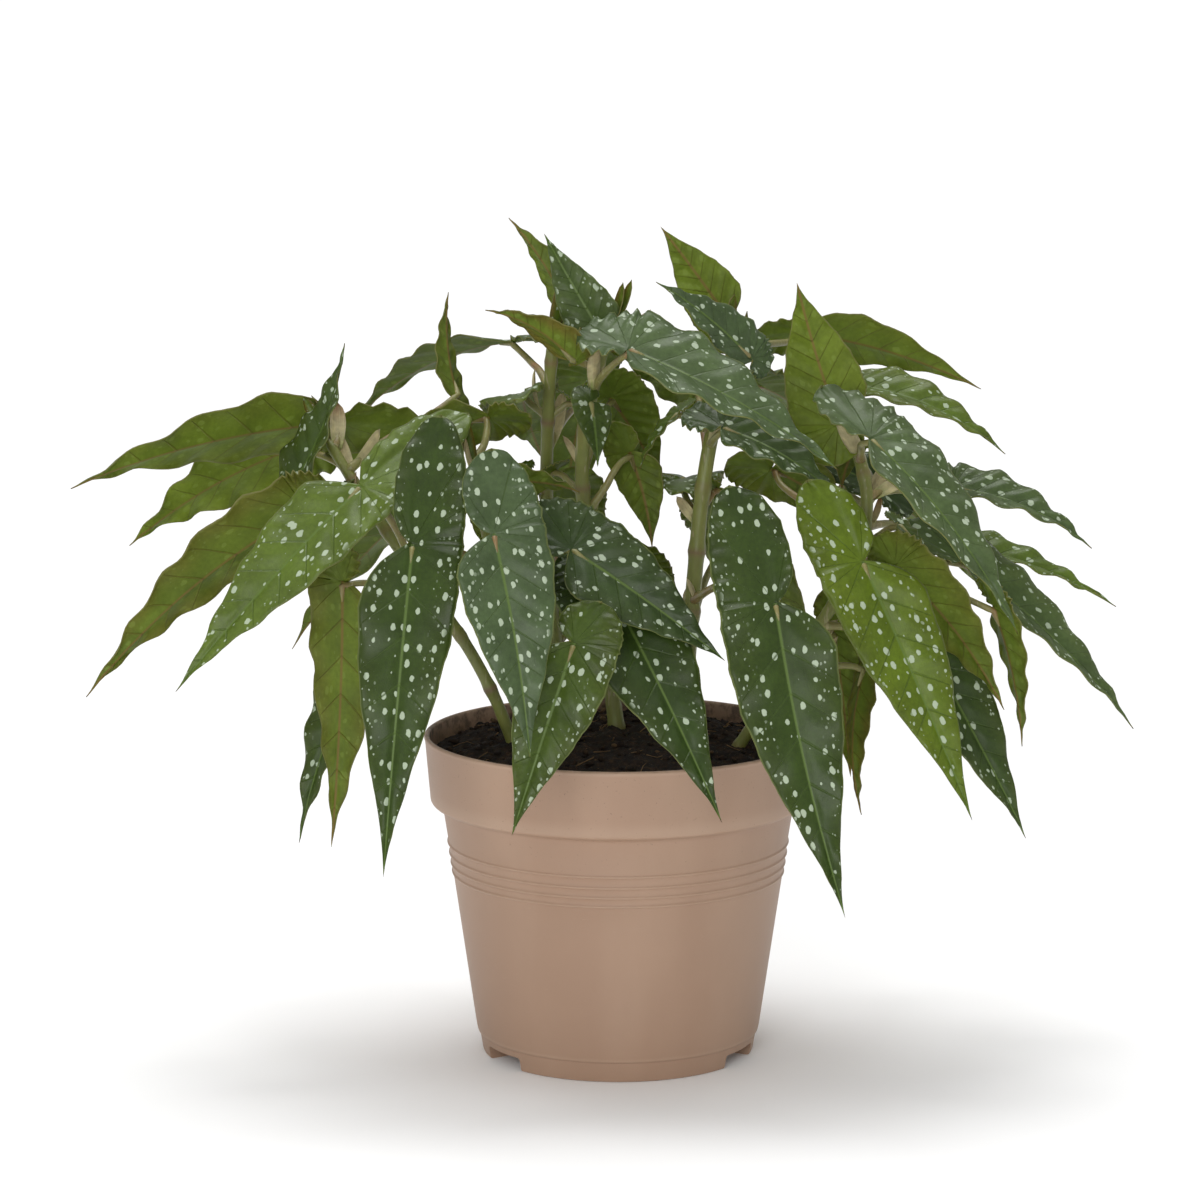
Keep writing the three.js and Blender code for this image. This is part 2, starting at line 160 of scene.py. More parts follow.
@dataclass
class Sweep:
    """A round rod swept along a path, closed at both ends.

    Attributes:
        path: The points of its axis.
        radii: Its radius at each point.
        sides: How many sides it has.
    """

    path: Sequence[Vector]
    radii: Sequence[float]
    sides: int = 10

    def build(self, bm: bmesh.types.BMesh, slot: int = 0,
              marks: dict[str, Sequence[float]] | None = None) -> None:
        """Add the rod to a mesh.

        Args:
            bm: The mesh.
            slot: The material slot of its faces.
            marks: Values for each point of the path, by the name of a vertex layer.
        """
        places = [f @ Matrix.Diagonal((r, r, 1, 1)) for f, r in zip(carried_frames(self.path), self.radii)]
        first = bmesh.ops.create_circle(bm, cap_ends=True, segments=self.sides, radius=1, matrix=places[0])
        ring = first["verts"]
        made = list(ring)
        self._mark(bm, ring, 0, marks)
        edges = [e for e in ring[0].link_faces[0].edges]
        for i in range(1, len(places)):
            grown = bmesh.ops.extrude_edge_only(bm, edges=edges)["geom"]
            ring = [g for g in grown if isinstance(g, bmesh.types.BMVert)]
            edges = [g for g in grown if isinstance(g, bmesh.types.BMEdge)]
            bmesh.ops.transform(bm, matrix=places[i] @ places[i - 1].inverted(), verts=ring)
            self._mark(bm, ring, i, marks)
            made += ring
        bmesh.ops.edgeloop_fill(bm, edges=edges)
        faces = list({f for v in made for f in v.link_faces})
        bmesh.ops.recalc_face_normals(bm, faces=faces)
        for face in faces:
            face.material_index = slot
            face.smooth = True

    @staticmethod
    def _mark(bm: bmesh.types.BMesh, ring: Iterable[bmesh.types.BMVert], i: int, marks: dict | None) -> None:
        """Write the values of point i of the path on a ring."""
        for name, values in (marks or {}).items():
            layer = bm.verts.layers.float[name]
            for vert in ring:
                vert[layer] = values[i]


def finish_piece(name: str, bm: bmesh.types.BMesh, materials: Sequence[bpy.types.Material],
                 nodes: Sequence[str] = (), sharp: float = 180.0) -> bpy.types.Object:
    """Turn a mesh into a piece that rides on the plant's body.

    Args:
        name: The piece's name.
        bm: Its mesh, which is freed.
        materials: Its materials, in the order of its faces' slots.
        nodes: The solids that it stands for.
        sharp: The angle in degrees beyond which an edge is drawn sharp.

    Returns:
        The piece's object.
    """
    mesh = bpy.data.meshes.new(name)
    bm.to_mesh(mesh)
    bm.free()
    for material in materials:
        mesh.materials.append(material)
    if sharp < 180:
        mesh.set_sharp_from_angle(angle=math.radians(sharp))
    piece = bpy.data.objects.new(name, mesh)
    bpy.context.scene.collection.objects.link(piece)
    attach(piece, BODY)
    if nodes:
        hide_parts(*nodes)
    LOG.info("%s: %d faces", name, len(mesh.polygons))
    return piece


def thickened(bm: bmesh.types.BMesh, thickness: float) -> bmesh.types.BMesh:
    """Give a sheet its thickness, with its other side and its rim in the next two slots.

    Args:
        bm: The sheet, which is freed.
        thickness: The thickness in metres, grown away from the sheet's upper side.

    Returns:
        The closed shell.
    """
    mesh = bpy.data.meshes.new("sheet")
    bm.to_mesh(mesh)
    bm.free()
    for skin in Skin:
        mesh.materials.append(None)
    sheet = bpy.data.objects.new("sheet", mesh)
    bpy.context.scene.collection.objects.link(sheet)
    shell = sheet.modifiers.new("shell", "SOLIDIFY")
    shell.thickness = thickness
    shell.offset = -1
    shell.material_offset = Skin.UNDER.value
    shell.material_offset_rim = Skin.MARGIN.value
    depsgraph = bpy.context.evaluated_depsgraph_get()
    solid = bpy.data.meshes.new_from_object(sheet.evaluated_get(depsgraph), depsgraph=depsgraph)
    out = bmesh.new()
    out.from_mesh(solid)
    bpy.data.objects.remove(sheet)
    bpy.data.meshes.remove(mesh)
    bpy.data.meshes.remove(solid)
    return out


# ---- The solids, measured ---------------------------------------------------------------------


@dataclass
class Solid:
    """A solid of the frame, merged into one mesh so that it can be measured.

    Attributes:
        node: Its name in the frame.
        merge: How close two corners are, in metres, to be one corner.
    """

    node: str
    merge: float = 1e-5

    def __post_init__(self) -> None:
        """Merge a copy of the solid's loose triangles."""
        self.bm = bmesh.new()
        self.bm.from_mesh(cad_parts[self.node].data)
        bmesh.ops.remove_doubles(self.bm, verts=self.bm.verts, dist=self.merge)
        self.bm.normal_update()
        self.tree = BVHTree.FromBMesh(self.bm)

    def gap_to(self, point: Vector) -> float:
        """Return how far a point lies from the solid's surface."""
        return self.tree.find_nearest(point)[3]

    def section(self, value: Callable[[bmesh.types.BMVert], float], level: float) -> list[Vector]:
        """Find where the solid's edges cross a level.

        Args:
            value: The number that each corner has.
            level: The number to cross.

        Returns:
            The crossing points.
        """
        points = []
        for edge in self.bm.edges:
            a, b = edge.verts
            low, high = value(a), value(b)
            if (low - level) * (high - level) < 0:
                points.append(a.co.lerp(b.co, (level - low) / (high - low)))
        return points

    def reaches(self, near: Sequence[bmesh.types.BMVert]) -> dict[bmesh.types.BMVert, float]:
        """Measure how far each corner lies from some of them, going along the edges.

        Args:
            near: The corners to start from.

        Returns:
            The distance of each corner.
        """
        reach = {vert: 0.0 for vert in near}
        queue = [(0.0, vert.index, vert) for vert in near]
        heapq.heapify(queue)
        while queue:
            far, _, vert = heapq.heappop(queue)
            if far > reach[vert]:
                continue
            for edge in vert.link_edges:
                other = edge.other_vert(vert)
                step = far + edge.calc_length()
                if step < reach.get(other, math.inf):
                    reach[other] = step
                    heapq.heappush(queue, (step, other.index, other))
        return reach


def middle_of(points: Sequence[Vector]) -> Vector:
    """Return the mean of some points."""
    return sum(points, Vector()) / len(points)


def spread_of(points: Sequence[Vector]) -> float:
    """Return how far some points reach from their mean."""
    middle = middle_of(points)
    return max((p - middle).length for p in points)


@dataclass(frozen=True)
class LeafLie:
    """How a leaf lies: its stalk's axis and the shape of its blade, in metres.

    Attributes:
        stalk: The points of the stalk's axis, from the cane to the blade.
        foot: Where the stalk meets the blade.
        tip: The blade's tip.
        out: The way its upper side looks.
        half: Half the blade's width, negative where its fuller half lies against across.
        lobe: The length of the lobe behind the stalk.
        bow: How far the midrib arches.
        fold: The angle at which each half is folded up.
    """

    stalk: tuple[Vector, ...]
    foot: Vector
    tip: Vector
    out: Vector
    half: float
    lobe: float
    bow: float
    fold: float


@dataclass
class LeafGauge:
    """Measures how a leaf's solid lies.

    Attributes:
        solid: The leaf's solid.
        cane: The solid of the cane that it grows from.
        touch: How close to the cane the stalk's cut end lies.
        step: How far apart the stalk's sections are.
        thin: The reach that a section of the stalk stays under.
        cut: How far the stalk's slanting cut at the cane may run.
        sure: How many sections of the stalk are enough to trust the next wide one as the blade.
        widest: The blade's greatest width ahead of the stalk, as a share of half its width.
        lap: How far the stalk runs on under the blade.
    """

    solid: Solid
    cane: Solid
    touch: float = 0.00045
    step: float = 0.0005
    thin: float = 0.0034
    cut: float = 0.012
    sure: int = 12
    widest: float = 1.98
    lap: float = 0.0012

    def stalk(self, reach: dict[bmesh.types.BMVert, float], start: Vector) -> list[Vector]:
        """Follow the stalk from the cane until its section widens into the blade.

        Args:
            reach: How far each corner lies from the stalk's cut end.
            start: The middle of that end.

        Returns:
            The middles of its sections.
        """
        middles = []
        level = self.step
        while True:
            points = self.solid.section(reach.__getitem__, level)
            broad = not points or spread_of(points) > self.thin
            if broad and (len(middles) > self.sure or level > self.cut):
                return middles or [start]
            if not broad:
                middles.append(middle_of(points))
            level += self.step

    def facing(self, foot: Vector, along: Vector) -> tuple[Vector, float]:
        """Find which way the blade looks: both its halves are folded up towards its upper side.

        Args:
            foot: Where the stalk meets the blade.
            along: The way from there to the tip.

        Returns:
            The way that the upper side looks, and the angle of the fold.
        """
        sheet = [f for f in self.solid.bm.faces if (f.calc_center_median() - foot).dot(along) > 0.004]
        broad = max(sheet, key=lambda f: f.calc_area()).normal
        out = sum((f.normal * f.calc_area() * math.copysign(1, f.normal.dot(broad)) for f in sheet
                   if abs(f.normal.dot(broad)) > 0.5), Vector())
        fold = 0.0
        for _ in range(4):
            out = (out - along * out.dot(along)).normalized() * math.copysign(1, fold)
            across = along.cross(out)
            halves = []
            for side in (1, -1):
                half = sum((f.normal * f.calc_area() for f in sheet if f.normal.dot(out) > 0.4
                            and (f.calc_center_median() - foot).dot(across) * side > 0), Vector())
                halves.append((half - along * half.dot(along)).normalized())
            out = halves[0] + halves[1]
            fold = math.asin(max(-1.0, min(1.0, (halves[1] - halves[0]).dot(across) / 2)))
        out = (out - along * out.dot(along)).normalized()
        return out, fold

    def lie(self) -> LeafLie:
        """Measure the leaf."""
        near = [v for v in self.solid.bm.verts if self.cane.gap_to(v.co) < self.touch]
        reach = self.solid.reaches(near)
        stalk = self.stalk(reach, middle_of([v.co for v in near]))
        tip = max(reach, key=reach.get).co.copy()
        along = (tip - stalk[-1]).normalized()
        foot = stalk[-1] - along * self.lap
        out, fold = self.facing(foot, along)
        across = along.cross(out)
        length = (tip - foot).length
        blade = [v.co - foot for v, far in reach.items() if far > len(stalk) * self.step]
        high = foot + along * length / 2 + out * 0.05 + across * 1e-5
        hit = self.solid.tree.ray_cast(high, -out)[0]
        bow = (hit - foot).dot(out) if hit else 0.0
        start = (along * length / 2 + out * 2 * bow).normalized()
        lobe = -min(p.dot(start) for p in blade)
        behind = [p.dot(across) for p in blade if p.dot(start) < -0.15 * lobe]
        hand = 1 if max(behind) > -min(behind) else -1
        ahead = [p.dot(across) for p in blade if p.dot(start) > 0]
        half = (max(ahead) - min(ahead)) / self.widest / math.cos(fold) * hand
        return LeafLie(tuple(stalk), foot, tip, out, half, lobe, bow, fold)


# ---- Shader work ------------------------------------------------------------------------------


class Bench:
    """Adds and joins shader nodes in one node tree."""

    def __init__(self, tree: bpy.types.NodeTree) -> None:
        """Work on a node tree."""
        self.tree = tree

    def add(self, kind: str, **settings: object) -> bpy.types.Node:
        """Add a node.

        Args:
            kind: The node's type name, without its ShaderNode prefix.
            **settings: Values of the node's own properties.

        Returns:
            The node.
        """
        prefix = "" if kind.startswith("NodeGroup") else "ShaderNode"
        node = self.tree.nodes.new(prefix + kind)
        for name, value in settings.items():
            setattr(node, name, value)
        return node

    def feed(self, socket: bpy.types.NodeSocket, value: object) -> None:
        """Join a socket to another socket, or set its value."""
        if isinstance(value, bpy.types.NodeSocket):
            self.tree.links.new(value, socket)
        elif isinstance(value, tuple) and socket.type == "RGBA" and len(value) == 3:
            socket.default_value = (*value, 1)
        else:
            socket.default_value = value

    def math(self, operation: str, *values: object) -> bpy.types.NodeSocket:
        """Return the result of one sum on numbers or sockets."""
        node = self.add("Math", operation=operation)
        for socket, value in zip(node.inputs, values):
            self.feed(socket, value)
        return node.outputs[0]

    def mix(self, share: object, a: object, b: object, blend: str = "MIX") -> bpy.types.NodeSocket:
        """Return a colour mixed from a to b by a share."""
        node = self.add("Mix", data_type="RGBA", blend_type=blend)
        self.feed(node.inputs["Factor"], share)
        self.feed(node.inputs[6], a)
        self.feed(node.inputs[7], b)
        return node.outputs[2]

    def between(self, value: object, low: object, high: object, start: float = 0.0, end: float = 1.0,
                ) -> bpy.types.NodeSocket:
        """Return a smooth change from start to end as value goes from low to high."""
        node = self.add("MapRange", interpolation_type="SMOOTHSTEP")
        limits = (("Value", value), ("From Min", low), ("From Max", high),
                  ("To Min", start), ("To Max", end))
        for name, number in limits:
            self.feed(node.inputs[name], number)
        return node.outputs[0]

    def noise(self, place: object, scale: float, detail: float = 3.0,
              rough: float = 0.5) -> bpy.types.NodeSocket:
        """Return a cloudy noise of a given fineness."""
        node = self.add("TexNoise")
        self.feed(node.inputs["Vector"], place)
        self.feed(node.inputs["Scale"], scale)
        self.feed(node.inputs["Detail"], detail)
        self.feed(node.inputs["Roughness"], rough)
        return node.outputs["Fac"]

    def stretched(self, place: object, scale: tuple[float, float, float]) -> bpy.types.NodeSocket:
        """Return a place with each axis scaled."""
        node = self.add("Mapping")
        self.feed(node.inputs["Vector"], place)
        node.inputs["Scale"].default_value = scale
        return node.outputs[0]

    def mark(self, name: str, output: str = "Fac") -> bpy.types.NodeSocket:
        """Return the value of a mesh attribute."""
        return self.add("Attribute", attribute_name=name).outputs[output]

    def group(self, tree: bpy.types.NodeTree, **inputs: object) -> bpy.types.Node:
        """Place a node group, with its inputs set by name (underscores stand for spaces)."""
        node = self.add("Group", node_tree=tree)
        for name, value in inputs.items():
            self.feed(node.inputs[name.replace("_", " ")], value)
        return node


class GroupMaker:
    """Builds a shader node group with named inputs and outputs."""

    def __init__(self, name: str, inputs: dict[str, str], outputs: dict[str, str]) -> None:
        """Start a group.

        Args:
            name: The group's name.
            inputs: The kind of each input, by name.
            outputs: The kind of each output, by name.
        """
        self.tree = bpy.data.node_groups.new(name, "ShaderNodeTree")
        for title, kind in inputs.items():
            self.tree.interface.new_socket(title, in_out="INPUT", socket_type=f"NodeSocket{kind}")
        for title, kind in outputs.items():
            self.tree.interface.new_socket(title, in_out="OUTPUT", socket_type=f"NodeSocket{kind}")
        self.bench = Bench(self.tree)
        self.inputs = self.tree.nodes.new("NodeGroupInput").outputs
        self.outputs = self.tree.nodes.new("NodeGroupOutput").inputs

    def out(self, name: str, value: object) -> None:
        """Join one of the group's outputs."""
        self.bench.feed(self.outputs[name], value)


def blotches_group() -> bpy.types.NodeTree:
    """Build the group that clouds a colour lighter and darker.

    Returns:
        The group, with the clouded colour and the cloud itself.
    """
    maker = GroupMaker("blotches", {"Color": "Color", "Place": "Vector", "Scale": "Float", "Amount": "Float"},
                       {"Color": "Color", "Cloud": "Float"})
    b = maker.bench
    cloud = b.noise(maker.inputs["Place"], 1.0, 4.0, 0.55)
    cloud.node.inputs["Scale"].default_value = 1.0
    b.feed(cloud.node.inputs["Scale"], maker.inputs["Scale"])
    swing = b.math("MULTIPLY", b.math("SUBTRACT", cloud, 0.5), maker.inputs["Amount"])
    lift = b.math("ADD", b.math("MULTIPLY", swing, 2.0), 1.0)
    maker.out("Color", b.mix(1.0, maker.inputs["Color"], lift, "MULTIPLY"))
    maker.out("Cloud", cloud)
    return maker.tree


def leaf_marks_group() -> bpy.types.NodeTree:
    """Build the group that finds a leaf's veins, midrib and margin from its mesh marks.

    Returns:
        The group, with one mask for each.
    """
    maker = GroupMaker("leaf_marks", {"Vein Width": "Float"},
                       {"Vein": "Float", "Rib": "Float", "Margin": "Float"})
    b = maker.bench
    count = b.mark("veins")
    away = b.math("ABSOLUTE", b.math("SUBTRACT", b.math("FRACT", b.math("ADD", count, 0.5)), 0.5))
    share = b.mark("share")
    width = b.math("MULTIPLY", maker.inputs["Vein Width"], b.between(share, 0.0, 1.0, 1.0, 0.35))
    line = b.between(away, 0.0, width, 1.0, 0.0)
    maker.out("Vein", b.math("MULTIPLY", line, b.between(share, 0.86, 0.98, 1.0, 0.0)))
    maker.out("Rib", b.between(b.mark("rib"), 0.15, 0.8, 1.0, 0.0))
    maker.out("Margin", b.between(share, 0.955, 0.985))
    return maker.tree


def spots_group() -> bpy.types.NodeTree:
    """Build the group that scatters a begonia's pale spots.

    Returns:
        The group, with the mask of the spots.
    """
    maker = GroupMaker("spots", {"Amount": "Float"}, {"Spots": "Float"})
    b = maker.bench
    place = b.add("UVMap", uv_map="blade").outputs[0]
    wobble = b.add("TexNoise", noise_dimensions="2D")
    b.feed(wobble.inputs["Vector"], place)
    b.feed(wobble.inputs["Scale"], 420.0)
    shift = b.add("VectorMath", operation="MULTIPLY_ADD")
    b.feed(shift.inputs[0], wobble.outputs["Color"])
    shift.inputs[1].default_value = (0.0011, 0.0011, 0.0)
    b.feed(shift.inputs[2], place)
    layers = []
    for across, along, low, high in ((215.0, 140.0, -0.05, 0.27), (390.0, 270.0, -0.05, 0.23)):
        cells = b.add("TexVoronoi", voronoi_dimensions="2D", feature="F1")
        b.feed(cells.inputs["Vector"], b.stretched(shift.outputs[0], (along, across, 1.0)))
        cells.inputs["Scale"].default_value = 1.0
        cells.inputs["Randomness"].default_value = 0.9
        dice = b.add("SeparateColor")
        b.feed(dice.inputs[0], cells.outputs["Color"])
        size = b.math("MULTIPLY", b.between(dice.outputs[0], 0.0, 1.0, low, high), maker.inputs["Amount"])
        layers.append(b.between(cells.outputs["Distance"], b.math("SUBTRACT", size, 0.05), size, 1.0, 0.0))
    share = b.mark("share")
    inner = b.math("MULTIPLY", layers[0], b.between(share, 0.78, 0.95, 1.0, 0.0))
    outer = b.math("MULTIPLY", layers[1], b.between(share, 0.45, 0.8))
    both = b.math("MAXIMUM", inner, b.math("MULTIPLY", outer, 0.85))
    maker.out("Spots", b.math("MULTIPLY", both, b.between(share, 0.93, 0.985, 1.0, 0.0)))
    return maker.tree


# ---- Finishes ---------------------------------------------------------------------------------


@dataclass(frozen=True)
class LeafFinish:
    """The living skin of a leaf.

    Attributes:
        dark: The colour of the darkest leaves.
        light: The colour of the palest leaves.
        silver: The blue-grey cast that some leaves have.
        flush: The brown or red that some leaves are flushed with.
        vein: The colour of the veins.
        rib: The colour of the midrib.
        margin: The colour of the thin rim.
        spot: The colour of the spots.
        spot_share: How strongly the spots show.
        gloss: Its roughness.
        sheen_through: The share of light that passes through.
        glow: The colour of the light that passes through.
        vein_height: How far the veins stand out, in metres; sunk veins are negative.
        vein_width: How wide the veins are, as a share of the gap between them.
        specular: How strongly the skin reflects.
        grain_height: How far the fine grain stands out, in metres.
        spot_height: How far the spots stand out, in metres.
    """

    dark: Rgb
    light: Rgb
    silver: Rgb
    flush: Rgb
    vein: Rgb
    rib: Rgb
    margin: Rgb
    spot: Rgb
    spot_share: float
    gloss: float
    sheen_through: float
    glow: Rgb
    vein_height: float
    vein_width: float = 0.055
    specular: float = 0.3
    grain_height: float = 0.00012
    spot_height: float = 0.00008

    def build(self, name: str, groups: "Effects") -> bpy.types.Material:
        """Make the material.

        Args:
            name: The material's name.
            groups: The shared effects.

        Returns:
            The material.
        """
        material = bpy.data.materials.new(name)
        material.use_nodes = True
        b = Bench(material.node_tree)
        tree = material.node_tree
        skin = tree.nodes["Principled BSDF"]
        tone = b.add("SeparateColor")
        b.feed(tone.inputs[0], b.mark("tone", "Color"))
        pale, warm, cool = tone.outputs[0], tone.outputs[1], tone.outputs[2]
        marks = b.group(groups.leaf_marks, Vein_Width=self.vein_width)
        place = b.add("UVMap", uv_map="blade").outputs[0]
        ground = b.mix(pale, self.dark, self.light)
        ground = b.mix(b.math("MULTIPLY", cool, 0.75), ground, self.silver)
        streak = b.noise(place, 38.0, 3.0)
        edge_flush = b.math("MULTIPLY", warm, b.between(b.math("ADD", b.mark("share"), streak), 0.75, 1.45))
        ground = b.mix(edge_flush, ground, self.flush)
        ground = b.group(groups.blotches, Color=ground, Place=place, Scale=60.0, Amount=0.55).outputs["Color"]
        ground = b.group(groups.blotches, Color=ground, Place=place, Scale=520.0,
                         Amount=0.35).outputs["Color"]
        ground = b.mix(b.math("MULTIPLY", marks.outputs["Vein"], 0.5), ground, self.vein)
        spots = b.group(groups.spots, Amount=1.0).outputs["Spots"]
        clear = b.math("SUBTRACT", 1.0, b.math("MULTIPLY", marks.outputs["Vein"], 0.8))
        clear = b.math("MULTIPLY", clear, b.math("SUBTRACT", 1.0, marks.outputs["Rib"]))
        spots = b.math("MULTIPLY", spots, clear)
        ground = b.mix(b.math("MULTIPLY", spots, self.spot_share), ground, self.spot)
        ground = b.mix(b.math("MULTIPLY", marks.outputs["Rib"], 0.75), ground, self.rib)
        ground = b.mix(b.math("MULTIPLY", marks.outputs["Margin"], 0.8), ground, self.margin)
        b.feed(skin.inputs["Base Color"], ground)
        rough = b.math("ADD", self.gloss, b.math("MULTIPLY", b.math("SUBTRACT", streak, 0.5), 0.25))
        b.feed(skin.inputs["Roughness"], b.math("ADD", rough, b.math("MULTIPLY", spots, 0.1)))
        skin.inputs["Specular IOR Level"].default_value = self.specular
        grain = b.noise(place, 1900.0, 2.0)
        veins = b.math("MULTIPLY", marks.outputs["Vein"], self.vein_height)
        height = b.math("ADD", veins, b.math("MULTIPLY", grain, self.grain_height))
        height = b.math("ADD", height, b.math("MULTIPLY", spots, self.spot_height))
        bump = b.add("Bump")
        b.feed(bump.inputs["Height"], height)
        bump.inputs["Distance"].default_value = 1.0
        bump.inputs["Strength"].default_value = 0.8
        b.feed(skin.inputs["Normal"], bump.outputs[0])
        through = b.add("BsdfTranslucent")
        b.feed(through.inputs["Color"], b.mix(0.45, ground, self.glow))
        both = b.add("MixShader")
        both.inputs[0].default_value = self.sheen_through
        b.feed(both.inputs[1], skin.outputs[0])
        b.feed(both.inputs[2], through.outputs[0])
        b.feed(tree.nodes["Material Output"].inputs["Surface"], both.outputs[0])
        return material


UPPER_SKIN = LeafFinish(
    dark=(0.014, 0.033, 0.004), light=(0.14, 0.205, 0.012), silver=(0.085, 0.125, 0.066),
    flush=(0.11, 0.075, 0.008), vein=(0.055, 0.095, 0.012), rib=(0.13, 0.20, 0.045),
    margin=(0.17, 0.20, 0.06),
    spot=(0.52, 0.61, 0.45), spot_share=0.88, gloss=0.36, sheen_through=0.22, glow=(0.22, 0.40, 0.01),
    vein_height=-0.0003)
# The underside: its own paler green, brightened to a vivid yellow-green. The brightening is painted light
# that stands in for light shining through the leaf from above and behind, on top of the translucent shading.
UNDER_SKIN_PAINTED_BACKLIGHT = LeafFinish(
    dark=(0.085, 0.125, 0.010), light=(0.25, 0.33, 0.035), silver=(0.17, 0.23, 0.055),
    flush=(0.20, 0.125, 0.030), vein=(0.20, 0.150, 0.030), rib=(0.29, 0.16, 0.055), margin=(0.27, 0.25, 0.09),
    spot=(0.34, 0.43, 0.10), spot_share=0.3, gloss=0.5, sheen_through=0.45, glow=(0.42, 0.55, 0.01),
    vein_height=0.0005)


@dataclass(frozen=True)
class StemFinish:
    """The skin of a stalk or a cane.

    Attributes:
        green: Its fresh colour.
        brown: The colour it is flushed with.
        flush: How much of it is flushed.
        ring: The colour of the scars at its joints.
        fleck: The colour of its pale flecks.
        gloss: Its roughness.
    """

    green: Rgb
    brown: Rgb
    flush: float
    ring: Rgb
    fleck: Rgb
    gloss: float

    def build(self, name: str, groups: "Effects") -> bpy.types.Material:
        """Make the material.

        Args:
            name: The material's name.
            groups: The shared effects.

        Returns:
            The material.
        """
        material = bpy.data.materials.new(name)
        material.use_nodes = True
        b = Bench(material.node_tree)
        skin = material.node_tree.nodes["Principled BSDF"]
        place = b.add("TexCoord").outputs["Object"]
        long_place = b.stretched(place, (1.0, 1.0, 0.18))
        flush = b.between(b.noise(long_place, 55.0, 4.0), 0.62 - 0.3 * self.flush, 0.95 - 0.3 * self.flush)
        ground = b.mix(flush, self.green, self.brown)
        ground = b.mix(b.math("MULTIPLY", b.noise(long_place, 700.0, 2.0), 0.45), ground, self.brown)
        fleck = b.between(b.noise(long_place, 520.0, 1.0), 0.66, 0.72)
        ground = b.mix(b.math("MULTIPLY", fleck, 0.55), ground, self.fleck)
        ground = b.mix(b.math("MULTIPLY", b.mark("ring"), 0.85), ground, self.ring)
        ground = b.group(groups.blotches, Color=ground, Place=place, Scale=90.0, Amount=0.4).outputs["Color"]
        b.feed(skin.inputs["Base Color"], ground)
        b.feed(skin.inputs["Roughness"], b.math("ADD", self.gloss, b.math("MULTIPLY", fleck, 0.2)))
        skin.inputs["Subsurface Weight"].default_value = 0.12
        skin.inputs["Subsurface Radius"].default_value = (0.0016, 0.0012, 0.0005)
        skin.inputs["Subsurface Scale"].default_value = 1.0
        bump = b.add("Bump")
        b.feed(bump.inputs["Height"], b.math("MULTIPLY", b.noise(long_place, 900.0, 3.0), 0.0004))
        bump.inputs["Distance"].default_value = 1.0
        bump.inputs["Strength"].default_value = 0.7
        b.feed(skin.inputs["Normal"], bump.outputs[0])
        return material


STALK_SKIN = StemFinish(green=(0.20, 0.225, 0.07), brown=(0.22, 0.085, 0.045), flush=0.55,
                        ring=(0.25, 0.15, 0.08), fleck=(0.38, 0.34, 0.2), gloss=0.42)
CANE_SKIN = StemFinish(green=(0.165, 0.20, 0.04), brown=(0.14, 0.085, 0.03), flush=0.2,
                       ring=(0.17, 0.10, 0.05), fleck=(0.32, 0.28, 0.17), gloss=0.45)


@dataclass(frozen=True)
class PaperFinish:
    """The dry papery skin of the stipules.

    Attributes:
        pale: The colour of the thin parts.
        dry: The colour of the dried ends.
        fresh: The green near the joint.
    """

    pale: Rgb = (0.62, 0.58, 0.34)
    dry: Rgb = (0.36, 0.21, 0.10)
    fresh: Rgb = (0.38, 0.45, 0.15)

    def build(self, name: str, groups: "Effects") -> bpy.types.Material:
        """Make the material.

        Args:
            name: The material's name.
            groups: The shared effects.

        Returns:
            The material.
        """
        material = bpy.data.materials.new(name)
        material.use_nodes = True
        b = Bench(material.node_tree)
        tree = material.node_tree
        skin = tree.nodes["Principled BSDF"]
        place = b.add("UVMap", uv_map="blade").outputs[0]
        fibre = b.noise(b.stretched(place, (60.0, 1400.0, 1.0)), 1.0, 3.0)
        far = b.math("ADD", b.mark("along"), b.math("MULTIPLY", b.math("SUBTRACT", fibre, 0.5), 0.5))
        ground = b.mix(b.between(far, 0.0, 0.4), self.fresh, self.pale)
        ground = b.mix(b.math("MULTIPLY", b.between(far, 0.45, 1.05), b.mark("dryness")), ground, self.dry)
        ground = b.mix(b.math("MULTIPLY", fibre, 0.35), ground, self.dry)
        ground = b.group(groups.blotches, Color=ground, Place=place, Scale=300.0, Amount=0.5).outputs["Color"]
        b.feed(skin.inputs["Base Color"], ground)
        skin.inputs["Roughness"].default_value = 0.7
        bump = b.add("Bump")
        b.feed(bump.inputs["Height"], b.math("MULTIPLY", fibre, 0.0004))
        bump.inputs["Distance"].default_value = 1.0
        b.feed(skin.inputs["Normal"], bump.outputs[0])
        through = b.add("BsdfTranslucent")
        b.feed(through.inputs["Color"], ground)
        both = b.add("MixShader")
        both.inputs[0].default_value = 0.35
        b.feed(both.inputs[1], skin.outputs[0])
        b.feed(both.inputs[2], through.outputs[0])
        b.feed(tree.nodes["Material Output"].inputs["Surface"], both.outputs[0])
        return material


